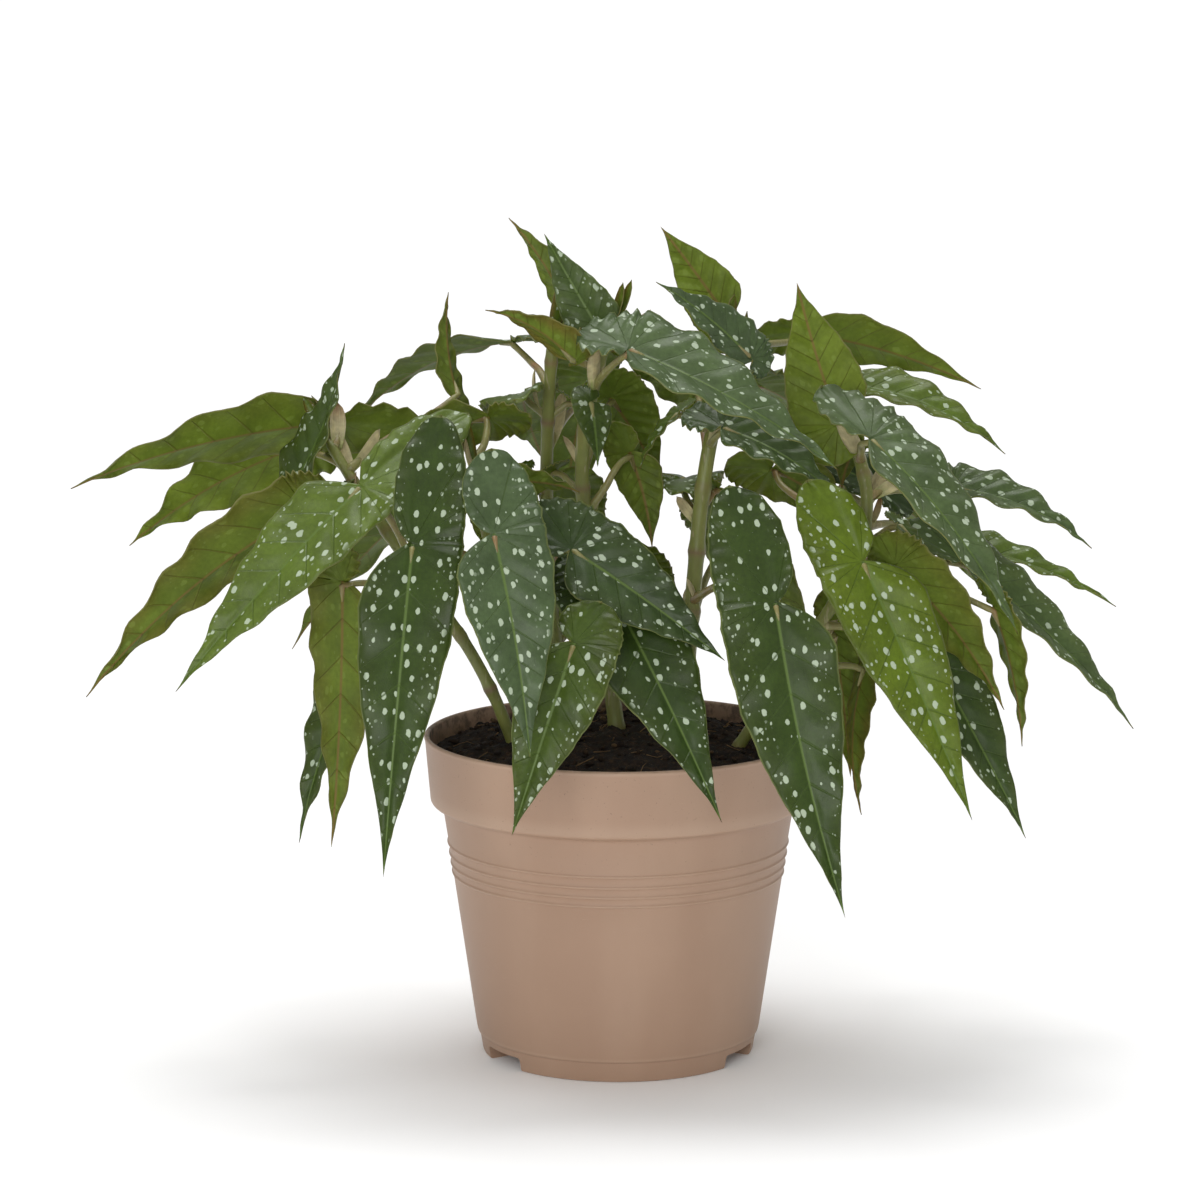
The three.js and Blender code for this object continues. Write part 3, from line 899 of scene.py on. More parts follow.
@dataclass(frozen=True)
class PotFinish:
    """Moulded taupe plastic with faint flow marks, scuffs and specks of soil.

    Attributes:
        plastic: The plastic's colour.
        worn: The paler colour of scuffs and worn edges.
        dirt: The colour of soil dust.
        gloss: Its roughness.
        dirt_from: The height in metres above which soil dusts the rim.
    """

    plastic: Rgb = (0.335, 0.212, 0.142)
    worn: Rgb = (0.52, 0.38, 0.28)
    dirt: Rgb = (0.07, 0.045, 0.03)
    gloss: float = 0.46
    dirt_from: float = 0.128

    def build(self, name: str, groups: "Effects") -> bpy.types.Material:
        """Make the material.

        Args:
            name: The material's name.
            groups: The shared effects.

        Returns:
            The material.
        """
        material = bpy.data.materials.new(name)
        material.use_nodes = True
        b = Bench(material.node_tree)
        skin = material.node_tree.nodes["Principled BSDF"]
        place = b.add("TexCoord").outputs["Object"]
        axes = b.add("SeparateXYZ")
        b.feed(axes.inputs[0], place)
        flow = b.noise(b.stretched(place, (1.0, 1.0, 0.22)), 26.0, 4.0)
        ground = b.mix(b.math("MULTIPLY", b.between(flow, 0.35, 0.75), 0.16), self.plastic, self.worn)
        ground = b.group(groups.blotches, Color=ground, Place=place, Scale=14.0, Amount=0.10).outputs["Color"]
        scuff = b.between(b.noise(b.stretched(place, (1.0, 1.0, 7.0)), 120.0, 6.0, 0.7), 0.63, 0.72)
        ground = b.mix(b.math("MULTIPLY", scuff, 0.18), ground, self.worn)
        edge = b.between(b.mark("ridge"), 0.2, 1.0)
        ground = b.mix(b.math("MULTIPLY", edge, 0.22), ground, self.worn)
        speck = b.between(b.noise(place, 900.0, 2.0, 0.6), 0.69, 0.73)
        near_rim = b.between(axes.outputs[2], self.dirt_from - 0.07, self.dirt_from + 0.012)
        ground = b.mix(b.math("MULTIPLY", speck, b.math("MULTIPLY", near_rim, 0.5)), ground, self.dirt)
        dust = b.math("MULTIPLY", b.mark("inside"), b.between(b.noise(place, 160.0, 5.0, 0.65), 0.42, 0.62))
        ground = b.mix(b.math("MULTIPLY", dust, 0.75), ground, self.dirt)
        b.feed(skin.inputs["Base Color"], ground)
        rough = b.math("ADD", self.gloss, b.math("MULTIPLY", flow, 0.12))
        b.feed(skin.inputs["Roughness"], b.math("ADD", rough, b.math("MULTIPLY", scuff, 0.15)))
        skin.inputs["Subsurface Weight"].default_value = 0.04
        skin.inputs["Subsurface Radius"].default_value = (0.003, 0.002, 0.0015)
        skin.inputs["Subsurface Scale"].default_value = 1.0
        grain = b.math("MULTIPLY", b.noise(place, 2600.0, 2.0), 0.00008)
        waves = b.math("MULTIPLY", b.noise(place, 22.0, 2.0), 0.0006)
        bump = b.add("Bump")
        scratches = b.math("MULTIPLY", scuff, -0.00003)
        b.feed(bump.inputs["Height"], b.math("ADD", grain, b.math("ADD", waves, scratches)))
        bump.inputs["Distance"].default_value = 1.0
        bump.inputs["Strength"].default_value = 0.6
        b.feed(skin.inputs["Normal"], bump.outputs[0])
        return material


@dataclass(frozen=True)
class SoilFinish:
    """Damp peaty potting soil.

    Attributes:
        dark: The colour of wet peat.
        brown: The colour of drier crumbs.
        straw: The colour of fibres and bark.
    """

    dark: Rgb = (0.010, 0.006, 0.004)
    brown: Rgb = (0.055, 0.032, 0.018)
    straw: Rgb = (0.20, 0.125, 0.06)

    def build(self, name: str, groups: "Effects") -> bpy.types.Material:
        """Make the material.

        Args:
            name: The material's name.
            groups: The shared effects.

        Returns:
            The material.
        """
        material = bpy.data.materials.new(name)
        material.use_nodes = True
        b = Bench(material.node_tree)
        skin = material.node_tree.nodes["Principled BSDF"]
        place = b.add("TexCoord").outputs["Object"]
        lump = b.noise(place, 260.0, 6.0, 0.65)
        ground = b.mix(b.between(lump, 0.42, 0.72), self.dark, self.brown)
        ground = b.mix(b.between(b.noise(place, 700.0, 2.0), 0.68, 0.74, 0.0, 0.6), ground, self.straw)
        ground = b.mix(b.mark("straw"), ground, self.straw)
        ground = b.group(groups.blotches, Color=ground, Place=place, Scale=120.0, Amount=0.8).outputs["Color"]
        b.feed(skin.inputs["Base Color"], ground)
        b.feed(skin.inputs["Roughness"], b.between(lump, 0.3, 0.6, 0.62, 0.95))
        skin.inputs["Specular IOR Level"].default_value = 0.25
        bump = b.add("Bump")
        b.feed(bump.inputs["Height"], b.math("MULTIPLY", b.noise(place, 900.0, 5.0, 0.7), 0.0012))
        bump.inputs["Distance"].default_value = 1.0
        b.feed(skin.inputs["Normal"], bump.outputs[0])
        return material


@dataclass
class Effects:
    """The shader groups that several finishes share."""

    blotches: bpy.types.NodeTree = field(default_factory=blotches_group)
    leaf_marks: bpy.types.NodeTree = field(default_factory=leaf_marks_group)
    spots: bpy.types.NodeTree = field(default_factory=spots_group)


# ---- Pot --------------------------------------------------------------------------------------


@dataclass
class Pot:
    """The moulded nursery pot: a tapered wall, a banded rim, fine rings and a notched foot.

    Attributes:
        height: Its height in millimetres, as are all its sizes.
    """

    height: float = 141.0
    base_radius: float = 60.5
    foot_height: float = 9.0
    foot_step: float = 1.0
    body_top_radius: float = 77.0
    band_bottom: float = 113.0
    band_radius: float = 82.0
    rim_radius: float = 84.6
    wall: float = 1.8
    lip: float = 2.4
    floor: float = 8.4
    ridges: tuple[float, ...] = (80.1, 84.1, 88.5, 93.4)
    ridge_half: float = 1.0
    ridge_depth: float = 0.62
    band_curve: float = 2.4
    under_curve: float = 3.0
    lip_curve: float = 1.2
    arc_steps: int = 8
    channel_from: float = 37.0
    channel_width: float = 25.0
    channel_height: float = 6.0
    channel_turns: tuple[float, ...] = (93.0, 213.0, 333.0)
    drain_radius: float = 4.5
    drain_at: float = 49.0
    sides: int = 176

    def body_radius(self, z: float) -> float:
        """Return the tapered wall's outer radius at a height."""
        return self.base_radius + (self.body_top_radius - self.base_radius) * z / self.band_bottom

    def profile(self) -> list[tuple[float, float, float, float]]:
        """Draw half of the pot's section.

        Returns:
            Points of radius, height, how far each is on a raised edge, and whether it is inside.
        """
        rows: list[tuple[float, float, float, float]] = []

        def add(r: float, z: float, edge: float = 0.0, inside: float = 0.0) -> None:
            """Add a point."""
            rows.append((r, z, edge, inside))

        foot = self.base_radius - self.foot_step
        add(0, 0)
        add(foot - 1.2, 0)
        add(foot - 0.35, 0.25, 0.6)
        add(foot, 1.0, 0.3)
        low = self.body_radius(self.foot_height)
        add(low - self.foot_step, self.foot_height - 0.3)
        add(low - 0.25, self.foot_height + 0.2, 0.5)
        add(low + 0.02, self.foot_height + 1.0, 0.8)
        for z in (12, 30, 50, 70):
            add(self.body_radius(z), z)
        for z in self.ridges:
            for k in range(-4, 5):
                rise = 0.5 + 0.5 * math.cos(math.pi * k / 4)
                at = z + k * self.ridge_half / 4
                add(self.body_radius(at) + self.ridge_depth * rise, at, rise)
        top = self.body_top_radius
        shares = [k / self.arc_steps for k in range(self.arc_steps + 1)]
        for share in shares:
            turn = math.pi / 2 * share
            add(top - 0.6 + self.under_curve * (1 - math.cos(turn)),
                self.band_bottom - 5.2 + self.under_curve * math.sin(turn))
        for share in shares:
            turn = math.pi / 2 * share
            add(self.band_radius - self.band_curve + self.band_curve * math.sin(turn),
                self.band_bottom + 0.2 - self.band_curve * math.cos(turn), share)
        for share in (0.3, 0.6, 0.9):
            add(lerp(self.band_radius, self.rim_radius - 0.2, share),
                lerp(self.band_bottom, self.height, share))
        out = self.rim_radius
        for share in shares:
            turn = math.pi * share
            add(out - self.lip / 2 + self.lip / 2 * math.cos(turn),
                self.height - self.lip_curve + self.lip_curve * math.sin(turn), 1.0, share)
        add(out - self.lip - 0.3, self.height - 6, 0, 1)
        add(self.band_radius - self.wall, self.band_bottom + 3, 0, 1)
        add(self.body_radius(self.band_bottom - 3) - self.wall, self.band_bottom - 3, 0, 1)
        add(self.body_radius(self.floor) - self.wall - 1, self.floor, 0, 1)
        add(0, self.floor, 0, 1)
        return rows

    def cutters(self) -> list[bpy.types.Object]:
        """Build the blocks and plugs that the foot's channels and drain holes are cut with."""
        made = []
        for turn in self.channel_turns:
            spin = Matrix.Rotation(math.radians(turn), 4, "Z")
            long = self.rim_radius
            middle = Matrix.Translation(((self.channel_from + long / 2) * MM, 0, 0))
            size = Matrix.Diagonal((long * MM, self.channel_width * MM, 2 * self.channel_height * MM, 1))
            block = bmesh.new()
            bmesh.ops.create_cube(block, size=1, matrix=spin @ middle @ size)
            bmesh.ops.bevel(block, geom=list(block.edges), offset=1.4 * MM, offset_type="OFFSET",
                            affect="EDGES", segments=4, profile=0.5, material=-1)
            plug = bmesh.new()
            hole = spin @ Matrix.Translation((self.drain_at * MM, 0, self.floor * MM))
            bmesh.ops.create_cone(plug, cap_ends=True, segments=28, radius1=self.drain_radius * MM,
                                  radius2=self.drain_radius * MM, depth=2 * self.floor * MM, matrix=hole)
            for bm in (block, plug):
                mesh = bpy.data.meshes.new("cutter")
                bm.to_mesh(mesh)
                bm.free()
                made.append(bpy.data.objects.new("cutter", mesh))
        return made

    def build(self, material: bpy.types.Material) -> bpy.types.Object:
        """Build the pot.

        Args:
            material: Its plastic.

        Returns:
            The pot's piece.
        """
        bm = bmesh.new()
        ridge = bm.verts.layers.float.new("ridge")
        inside = bm.verts.layers.float.new("inside")
        chain = []
        for r, z, edge, within in self.profile():
            vert = bm.verts.new((r * MM, 0, z * MM))
            vert[ridge] = edge
            vert[inside] = within
            chain.append(vert)
        edges = [bm.edges.new(pair) for pair in zip(chain, chain[1:])]
        bmesh.ops.spin(bm, geom=chain + edges, cent=(0, 0, 0), axis=(0, 0, 1), angle=math.tau,
                       steps=self.sides, use_merge=True, use_duplicate=False)
        bmesh.ops.remove_doubles(bm, verts=bm.verts, dist=1e-6)
        bmesh.ops.recalc_face_normals(bm, faces=bm.faces)
        for face in bm.faces:
            face.smooth = True
        mesh = bpy.data.meshes.new("pot_blank")
        bm.to_mesh(mesh)
        bm.free()
        blank = bpy.data.objects.new("pot_blank", mesh)
        cutters = self.cutters()
        for part in (blank, *cutters):
            bpy.context.scene.collection.objects.link(part)
        for cutter in cutters:
            cut = blank.modifiers.new("cut", "BOOLEAN")
            cut.operation = "DIFFERENCE"
            cut.solver = "EXACT"
            cut.object = cutter
        depsgraph = bpy.context.evaluated_depsgraph_get()
        solid = bpy.data.meshes.new_from_object(blank.evaluated_get(depsgraph), depsgraph=depsgraph)
        out = bmesh.new()
        out.from_mesh(solid)
        for face in out.faces:
            face.smooth = True
            face.material_index = 0
        for part in (blank, *cutters):
            bpy.data.objects.remove(part)
        return finish_piece("nursery_pot", out, [material], ["pot"], sharp=38)


# ---- Soil -------------------------------------------------------------------------------------


@dataclass
class Soil:
    """The bed of soil, domed in the middle, with crumbs and fibres lying on it.

    Attributes:
        edge: The height of its edge in millimetres, as are all its sizes.
    """

    edge: float = 133.0
    crown: float = 143.0
    radius: float = 80.6
    bottom: float = 8.8
    bottom_radius: float = 58.4
    cells: int = 120
    crumbs: int = 260
    fibres: int = 70
    seed: int = 11

    def height(self, x: float, y: float) -> float:
        """Return the soil's height in metres at a place in metres."""
        share = min(1.0, math.hypot(x, y) / (self.radius * MM))
        dome = lerp(self.crown, self.edge, share * share) * MM
        lumps = noise.fractal(Vector((x, y, 0.3)) * 90, 0.9, 2.1, 4) * 0.0022
        grit = noise.fractal(Vector((x, y, 1.7)) * 420, 0.8, 2.0, 3) * 0.0009
        return dome + (lumps + grit) * (1 - 0.6 * ramp(0.93, 1.0, share))

    def build(self, material: bpy.types.Material) -> bpy.types.Object:
        """Build the soil.

        Args:
            material: Its finish.

        Returns:
            The soil's piece.
        """
        bm = bmesh.new()
        straw = bm.verts.layers.float.new("straw")
        bmesh.ops.create_grid(bm, x_segments=self.cells, y_segments=self.cells, size=1)
        for vert in bm.verts:
            x, y = vert.co.x, vert.co.y
            r = self.radius * MM
            vert.co.x = x * math.sqrt(max(0.0, 1 - y * y / 2)) * r
            vert.co.y = y * math.sqrt(max(0.0, 1 - x * x / 2)) * r
            vert.co.z = self.height(vert.co.x, vert.co.y)
        rim = [e for e in bm.edges if e.is_boundary]
        for z, r in ((112, 75.2), (self.bottom, self.bottom_radius)):
            grown = bmesh.ops.extrude_edge_only(bm, edges=rim)["geom"]
            rim = [g for g in grown if isinstance(g, bmesh.types.BMEdge)]
            for vert in [g for g in grown if isinstance(g, bmesh.types.BMVert)]:
                flat = Vector((vert.co.x, vert.co.y)).normalized() * r * MM
                vert.co = (flat.x, flat.y, z * MM)
        bmesh.ops.edgeloop_fill(bm, edges=rim)
        bmesh.ops.recalc_face_normals(bm, faces=bm.faces)
        dice = random.Random(self.seed)
        for i in range(self.crumbs):
            turn = dice.uniform(0, math.tau)
            reach = (self.radius - 3) * MM * math.sqrt(dice.random())
            x, y = reach * math.cos(turn), reach * math.sin(turn)
            size = dice.uniform(0.7, 2.1) * MM
            shape = Matrix.Diagonal((size * dice.uniform(0.8, 1.5), size, size * dice.uniform(0.5, 0.8), 1))
            place = Matrix.Translation((x, y, self.height(x, y) + size * 0.2))
            spin = Matrix.Rotation(dice.uniform(0, math.tau), 4, (dice.random(), dice.random(), 1))
            made = bmesh.ops.create_icosphere(bm, subdivisions=1 + (i % 4 == 0), radius=1,
                                              matrix=place @ spin @ shape)
            for vert in made["verts"]:
                nudge = Vector((dice.uniform(-1, 1), dice.uniform(-1, 1), dice.uniform(-1, 1)))
                vert.co += nudge * size * 0.12
                vert[straw] = 0.5 if i % 9 == 0 else 0.0
        for i in range(self.fibres):
            turn = dice.uniform(0, math.tau)
            reach = (self.radius - 9) * MM * math.sqrt(dice.random())
            x, y = reach * math.cos(turn), reach * math.sin(turn)
            way = dice.uniform(0, math.tau)
            long = dice.uniform(3, 10) * MM
            path = []
            for k in range(4):
                px = x + math.cos(way) * long * k / 3
                py = y + math.sin(way + 0.25 * k) * long * k / 3
                path.append(Vector((px, py, self.height(px, py) + 0.5 * MM + 0.4 * MM * k)))
            thin = dice.uniform(0.16, 0.4) * MM
            Sweep(path, [thin] * 4, 4).build(bm, 0, {"straw": [0.9] * 4})
        for face in bm.faces:
            face.smooth = True
        return finish_piece("potting_soil", bm, [material], ["soil"])


# ---- Canes ------------------------------------------------------------------------------------


@dataclass
class Cane:
    """A jointed cane, whose axis and thickness are measured on its solid.

    Attributes:
        name: Its name.
        solid: Its solid.
        joint_gap: How far apart its joints are in millimetres.
        steps: How many rings its mesh has.
        slices: How many sections its axis is measured at.
        end_gap: How far inside its solid's ends the first and last sections are, in metres.
    """

    name: str
    solid: Solid
    joint_gap: float = 27.0
    steps: int = 72
    slices: int = 9
    end_gap: float = 0.0025

    def __post_init__(self) -> None:
        """Measure the axis and the radius at both ends."""
        low, high = (corner.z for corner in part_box(self.solid.node))
        self.points, self.radii = [], []
        for i in range(self.slices):
            level = lerp(low + self.end_gap, high - self.end_gap, i / (self.slices - 1))
            ring = self.solid.section(lambda vert: vert.co.z, level)
            middle = middle_of(ring)
            self.points.append(middle)
            self.radii.append(min((p - middle).length for p in ring))

    def at(self, t: float) -> Vector:
        """Return the point at t on the cane's axis, in metres."""
        return through(self.points, t)

    def build(self, material: bpy.types.Material) -> bpy.types.Object:
        """Build the cane.

        Args:
            material: Its skin.

        Returns:
            The cane's piece.
        """
        bm = bmesh.new()
        for layer in ("ring", "along"):
            bm.verts.layers.float.new(layer)
        path = [self.at(i / self.steps) for i in range(self.steps + 1)]
        radii, rings, travelled = [], [], 0.0
        for i, point in enumerate(path):
            if i:
                travelled += (point - path[i - 1]).length / MM
            off = (travelled + 9) % self.joint_gap
            off = min(off, self.joint_gap - off)
            swell = math.exp(-((off / 2.6) ** 2))
            base = lerp(self.radii[0], self.radii[-1], i / self.steps) * 1.08
            end = math.sqrt(max(0.05, 1 - ramp(self.steps - 3, self.steps, i)))
            radii.append(base * (1 + 0.2 * swell) * end)
            rings.append(math.exp(-((off / 1.1) ** 2)))
        Sweep(path, radii, 14).build(bm, 0, {"ring": rings})
        return finish_piece(f"cane_{self.name}_stem", bm, [material], [f"cane_{self.name}"])


# ---- Leaves -----------------------------------------------------------------------------------


@dataclass
class Leaf:
    """One leaf: its stalk and its wing-shaped blade.

    Attributes:
        name: Its name.
        cane: The name of the cane that it grows from.
        pale: How pale it is, from 0 to 1.
        flushed: How flushed with brown or red.
        silvery: How silvery.
        rows: How many rows its blade has from the lobe to the tip.
        columns: How many columns it has from edge to edge.
        thickness: The blade's thickness in millimetres.
        stalk_radius: The stalk's radius in millimetres.
        vein_pairs: How many pairs of side veins it has.
        stalk_steps: How many rings the stalk has.
        stalk_sides: How many sides the stalk has.
        stalk_sections: How many measured sections a stalk needs for its bends to be followed.
    """

    name: str
    cane: str
    pale: float
    flushed: float
    silvery: float
    rows: int = 78
    columns: int = 23
    thickness: float = 0.45
    stalk_radius: float = 1.7
    vein_pairs: float = 7.0
    stalk_steps: int = 22
    stalk_sides: int = 10
    stalk_sections: int = 24

    def prepare(self, number: int, lie: LeafLie) -> None:
        """Work out the blade's frame and its own small differences.

        Args:
            number: The leaf's place in the list, which its differences are drawn from.
            lie: How it lies.
        """
        dice = random.Random(100 + number)
        self.offset = Vector((number * 0.37, number * 0.23))
        self.lie = lie
        self.foot = lie.foot
        along = lie.tip - lie.foot
        self.length = along.length
        along.normalize()
        self.out = (lie.out - along * lie.out.dot(along)).normalized()
        self.across = along.cross(self.out)
        knee = self.foot + along * self.length / 2 + self.out * 2 * lie.bow
        self.rib = (self.foot, knee, lie.tip)
        self.start = (knee - self.foot).normalized()
        self.waves = dice.uniform(6.0, 8.5)
        self.phase = (dice.random(), dice.random())
        self.ripple = dice.uniform(0.03, 0.06) * 2 * abs(lie.half)
        self.sway = dice.uniform(-0.028, 0.028) * self.length
        self.lobe_droop = dice.uniform(0.04, 0.16)
        self.quilt = dice.uniform(0.6, 0.95) * MM

    def full_edge(self, v: float) -> float:
        """Return the fuller half's width at v, as a share of half the blade's width."""
        if v < -0.1:
            t = (-v - 0.1) / 0.9
            return 0.3 + 0.76 * math.sqrt(max(0.0, 1 - t * t))
        return 1.06 if v < 0.12 else 1.06 * self.taper((v - 0.12) / 0.88)

    def lesser_edge(self, v: float) -> float:
        """Return the lesser half's width at v, cut in to the stalk by the notch at 0."""
        if v < -0.45:
            t = (-v - 0.45) / 0.55
            return -0.3 + 0.8 * math.sqrt(max(0.0, 1 - t * t))
        if v < 0:
            t = (v + 0.45) / 0.45
            return 0.5 - 0.44 * t ** 3.5
        if v < 0.2:
            return 0.06 + 0.9 * (1 - (1 - v / 0.2) ** 2.6)
        return 0.96 * self.taper((v - 0.2) / 0.8) * 1.0

    @staticmethod
    def taper(t: float) -> float:
        """Return how the blade narrows to its drawn-out tip, from 1 to 0."""
        return math.cos(math.pi / 2 * min(1.0, t)) ** 1.45

    def scallop(self, v: float, side: int) -> float:
        """Return how far the margin steps out at v, from 0 to 1, with points where veins end."""
        reach = abs(v) * self.waves + self.phase[side]
        point = 1 - abs(math.sin(math.pi * reach))
        fine = 1 - abs(math.sin(math.pi * reach * 3.1))
        return (0.75 * point + 0.25 * fine) * ramp(-1.0, -0.7, v) * ramp(1.0, 0.9, v)

    def axis(self, v: float) -> tuple[Vector, Vector]:
        """Return the midrib's point and heading at v; behind the stalk it runs into the lobe."""
        if v < 0:
            droop = self.out * (-self.lobe_droop * self.lie.lobe * v * v)
            return self.foot + self.start * (v * self.lie.lobe) + droop, self.start
        step = 0.01
        here = bezier(self.rib, v)
        return here, (bezier(self.rib, v + step) - bezier(self.rib, v - step)).normalized()

    def surface(self, v: float, s: float) -> tuple[Vector, dict[str, float]]:
        """Find a point of the upper side.

        Args:
            v: The place along the midrib: -1 is the lobe's end, 0 the stalk, 1 the tip.
            s: The place across: -1 is the lesser margin, 1 the fuller one.

        Returns:
            The point, and the marks that its finish reads.
        """
        scallops = 1 + 0.05 * (self.scallop(v, int(s > 0)) - 0.4)
        lesser, full = -self.lesser_edge(v), self.full_edge(v)
        middle = (lesser + full) / 2 * ramp(-0.25, -1.0, v)
        edge = full if s >= 0 else lesser
        share = abs(s)
        u = (middle + (edge - middle) * share * (1 + (scallops - 1) * share * share)) * self.lie.half
        here, heading = self.axis(v)
        up = self.across.cross(heading).normalized()
        fold = self.lie.fold * (1 - 0.55 * ramp(0.0, -0.6, v))
        dip = math.sqrt(u * u + 4e-6) - 2e-3
        lift = dip * math.sin(fold) * (1 - 0.35 * share * share)
        wave = abs(v) * self.waves + self.phase[int(s > 0)]
        lift += self.ripple * share ** 2.2 * math.sin(math.tau * wave * 0.62) * ramp(1.0, 0.8, v) * 0.8
        x = v * (self.lie.lobe if v < 0 else self.length)
        veins = self.vein_count(x, abs(u))
        quilt = (0.5 - 0.5 * math.cos(math.tau * veins)) * ramp(0.02, 0.3, share) * ramp(1.0, 0.86, share)
        lift += self.quilt * quilt * ramp(0.0, 0.012, math.hypot(x, u)) * ramp(1.0, 0.85, v)
        if v > 0:
            lift -= 0.5 * MM * math.exp(-((u / 1.3e-3) ** 2))
        sway = self.sway * math.sin(math.pi * v) if v > 0 else 0.0
        point = here + self.across * (u * math.cos(fold) + sway) + up * lift
        rib = abs(u) / MM / (0.55 + 0.75 * (1 - v)) if v >= 0 else 9.0
        marks = {"veins": veins, "share": share if v > -0.97 else 1.0, "rib": rib, "along": v, "x": x, "y": u}
        return point, marks

    def vein_count(self, x: float, y: float) -> float:
        """Number the veins, so that each lies on a whole number.

        Args:
            x: The place along the midrib in metres, with the stalk at 0.
            y: The distance from the midrib.

        Returns:
            The count: pinnate veins ahead of the stalk, and a fan of them around it.
        """
        lean = math.radians(48)
        ahead = x - y / math.tan(lean)
        if ahead > 0:
            return self.vein_pairs * ahead / self.length
        fan = math.atan2(y, x) - lean
        return -fan / math.radians(27)

    def row(self, t: float) -> float:
        """Return the place along the midrib of a row of the mesh, with t from -1 to 1."""
        stalk_row = -0.38
        if t < stalk_row:
            return -(1 + math.cos(math.pi * (t + 1) / (stalk_row + 1))) / 2
        return ((t - stalk_row) / (1 - stalk_row)) ** 1.3

    def blade(self) -> bmesh.types.BMesh:
        """Build the blade as a closed shell.

        Returns:
            Its mesh.
        """
        bm = bmesh.new()
        layers = {n: bm.verts.layers.float.new(n) for n in ("veins", "share", "rib", "along", "ring")}
        tone = bm.verts.layers.float_color.new("tone")
        uv = bm.loops.layers.uv.new("blade")
        bmesh.ops.create_grid(bm, x_segments=self.rows - 1, y_segments=self.columns - 1, size=1)
        flat = {}
        for vert in bm.verts:
            s = math.copysign(abs(vert.co.y) ** 1.15, vert.co.y)
            vert.co, marks = self.surface(self.row(vert.co.x), s)
            flat[vert] = self.offset + Vector((marks["x"], marks["y"]))
            for name in ("veins", "share", "rib", "along"):
                vert[layers[name]] = marks[name]
            vert[tone] = (self.pale, self.flushed, self.silvery, 1.0)
        for face in bm.faces:
            face.smooth = True
            for loop in face.loops:
                loop[uv].uv = flat[loop.vert]
        bmesh.ops.remove_doubles(bm, verts=bm.verts, dist=2e-6)
        bm.normal_update()
        facing = sum((f.normal.dot(self.out) * f.calc_area() for f in bm.faces))
        if facing < 0:
            bmesh.ops.reverse_faces(bm, faces=bm.faces)
        return thickened(bm, self.thickness * MM)

    def stalk(self, bm: bmesh.types.BMesh, cane: Cane) -> None:
        """Add the stalk, from inside the cane along its measured axis to the blade's underside.

        Args:
            bm: The leaf's mesh.
            cane: The cane.
        """
        measured = self.lie.stalk
        first, last = measured[0], measured[-1]
        root = min((cane.at(i / 80) for i in range(81)), key=lambda p: (p - first).length)
        end = self.foot - self.out * (self.thickness + 0.5) * MM + self.start * 2 * MM
        if len(measured) > self.stalk_sections:
            between = [measured[len(measured) * k // 4] for k in range(1, 4)]
        else:
            between = [first.lerp(last, 0.5)]
        knots = [root, *between, end]
        path = [through(knots, i / self.stalk_steps) for i in range(self.stalk_steps + 1)]
        radii = []
        for i in range(self.stalk_steps + 1):
            t = i / self.stalk_steps
            swell = 1 + 0.35 * (1 - ramp(0.0, 0.16, t)) + 0.12 * ramp(0.85, 1.0, t)
            radii.append(self.stalk_radius * lerp(1.05, 0.78, t) * swell * MM)
        path.append(end + self.start * 7 * MM - self.out * 0.1 * MM)
        radii.append(0.45 * MM)
        along = [i / len(path) for i in range(len(path))]
        Sweep(path, radii, self.stalk_sides).build(bm, Skin.STALK.value, {"along": along})

    def build(self, number: int, cane: Cane, lie: LeafLie, skins: Sequence[bpy.types.Material],
              nodes: Sequence[str] = ()) -> bpy.types.Object:
        """Build the leaf.

        Args:
            number: Its place in the list.
            cane: The cane that it grows from.
            lie: How it lies.
            skins: The materials, in the order of Skin.
            nodes: The solids that it stands for.

        Returns:
            The leaf's piece.
        """
        self.prepare(number, lie)
        bm = self.blade()
        self.stalk(bm, cane)
        return finish_piece(f"begonia_leaf_{self.name}", bm, skins, nodes)


@dataclass
class Bract:
    """A papery stipule at a joint, or a young folded leaf at a cane's top.

    Attributes:
        foot: Where it starts, in metres.
        way: The way it points.
        belly: The way its hollow side looks.
        length: Its length in millimetres.
        width: Its width.
        dryness: How dry and brown its end is, from 0 to 1.
    """

    foot: Vector
    way: Vector
    belly: Vector
    length: float
    width: float
    dryness: float
    curl: float = 0.25
    rows: int = 9
    columns: int = 5

    def add_to(self, bm: bmesh.types.BMesh, number: int, tone: Rgb = (0.5, 0.5, 0.0)) -> None:
        """Add it to a sheet mesh that has the stipules' layers.

        Args:
            bm: The mesh.
            number: Its place in the list.
            tone: Its tone, where it is dressed as a leaf.
        """
        way = self.way.normalized()
        belly = (self.belly - way * self.belly.dot(way)).normalized()
        side = way.cross(belly)
        made = bmesh.ops.create_grid(bm, x_segments=self.rows, y_segments=self.columns, size=1)["verts"]
        uv = bm.loops.layers.uv["blade"]
        layer = {n: bm.verts.layers.float[n] for n in ("along", "dryness", "veins", "share", "rib")}
        flat = {}
        for vert in made:
            t, s = (vert.co.x + 1) / 2, vert.co.y
            wide = self.width / 2 * MM * (0.42 + 0.9 * t) * math.cos(math.pi / 2 * t) ** 0.6 * 1.25
            bend = self.curl * self.length * MM * t * t
            cup = wide * 0.55 * (1 - s * s)
            flat[vert] = Vector((number * 0.19 + t * self.length * MM, number * 0.31 + s * wide))
            vert.co = self.foot + way * t * self.length * MM + side * s * wide + belly * (bend - cup)
            vert[layer["along"]] = t
            vert[layer["dryness"]] = self.dryness
            vert[layer["veins"]] = t * 5 - abs(s)
            vert[layer["share"]] = abs(s)
            vert[layer["rib"]] = abs(s) * 4
            vert[bm.verts.layers.float_color["tone"]] = (*tone, 1.0)
        for face in {f for v in made for f in v.link_faces}:
            face.smooth = True
            for loop in face.loops:
                loop[uv].uv = flat[loop.vert]


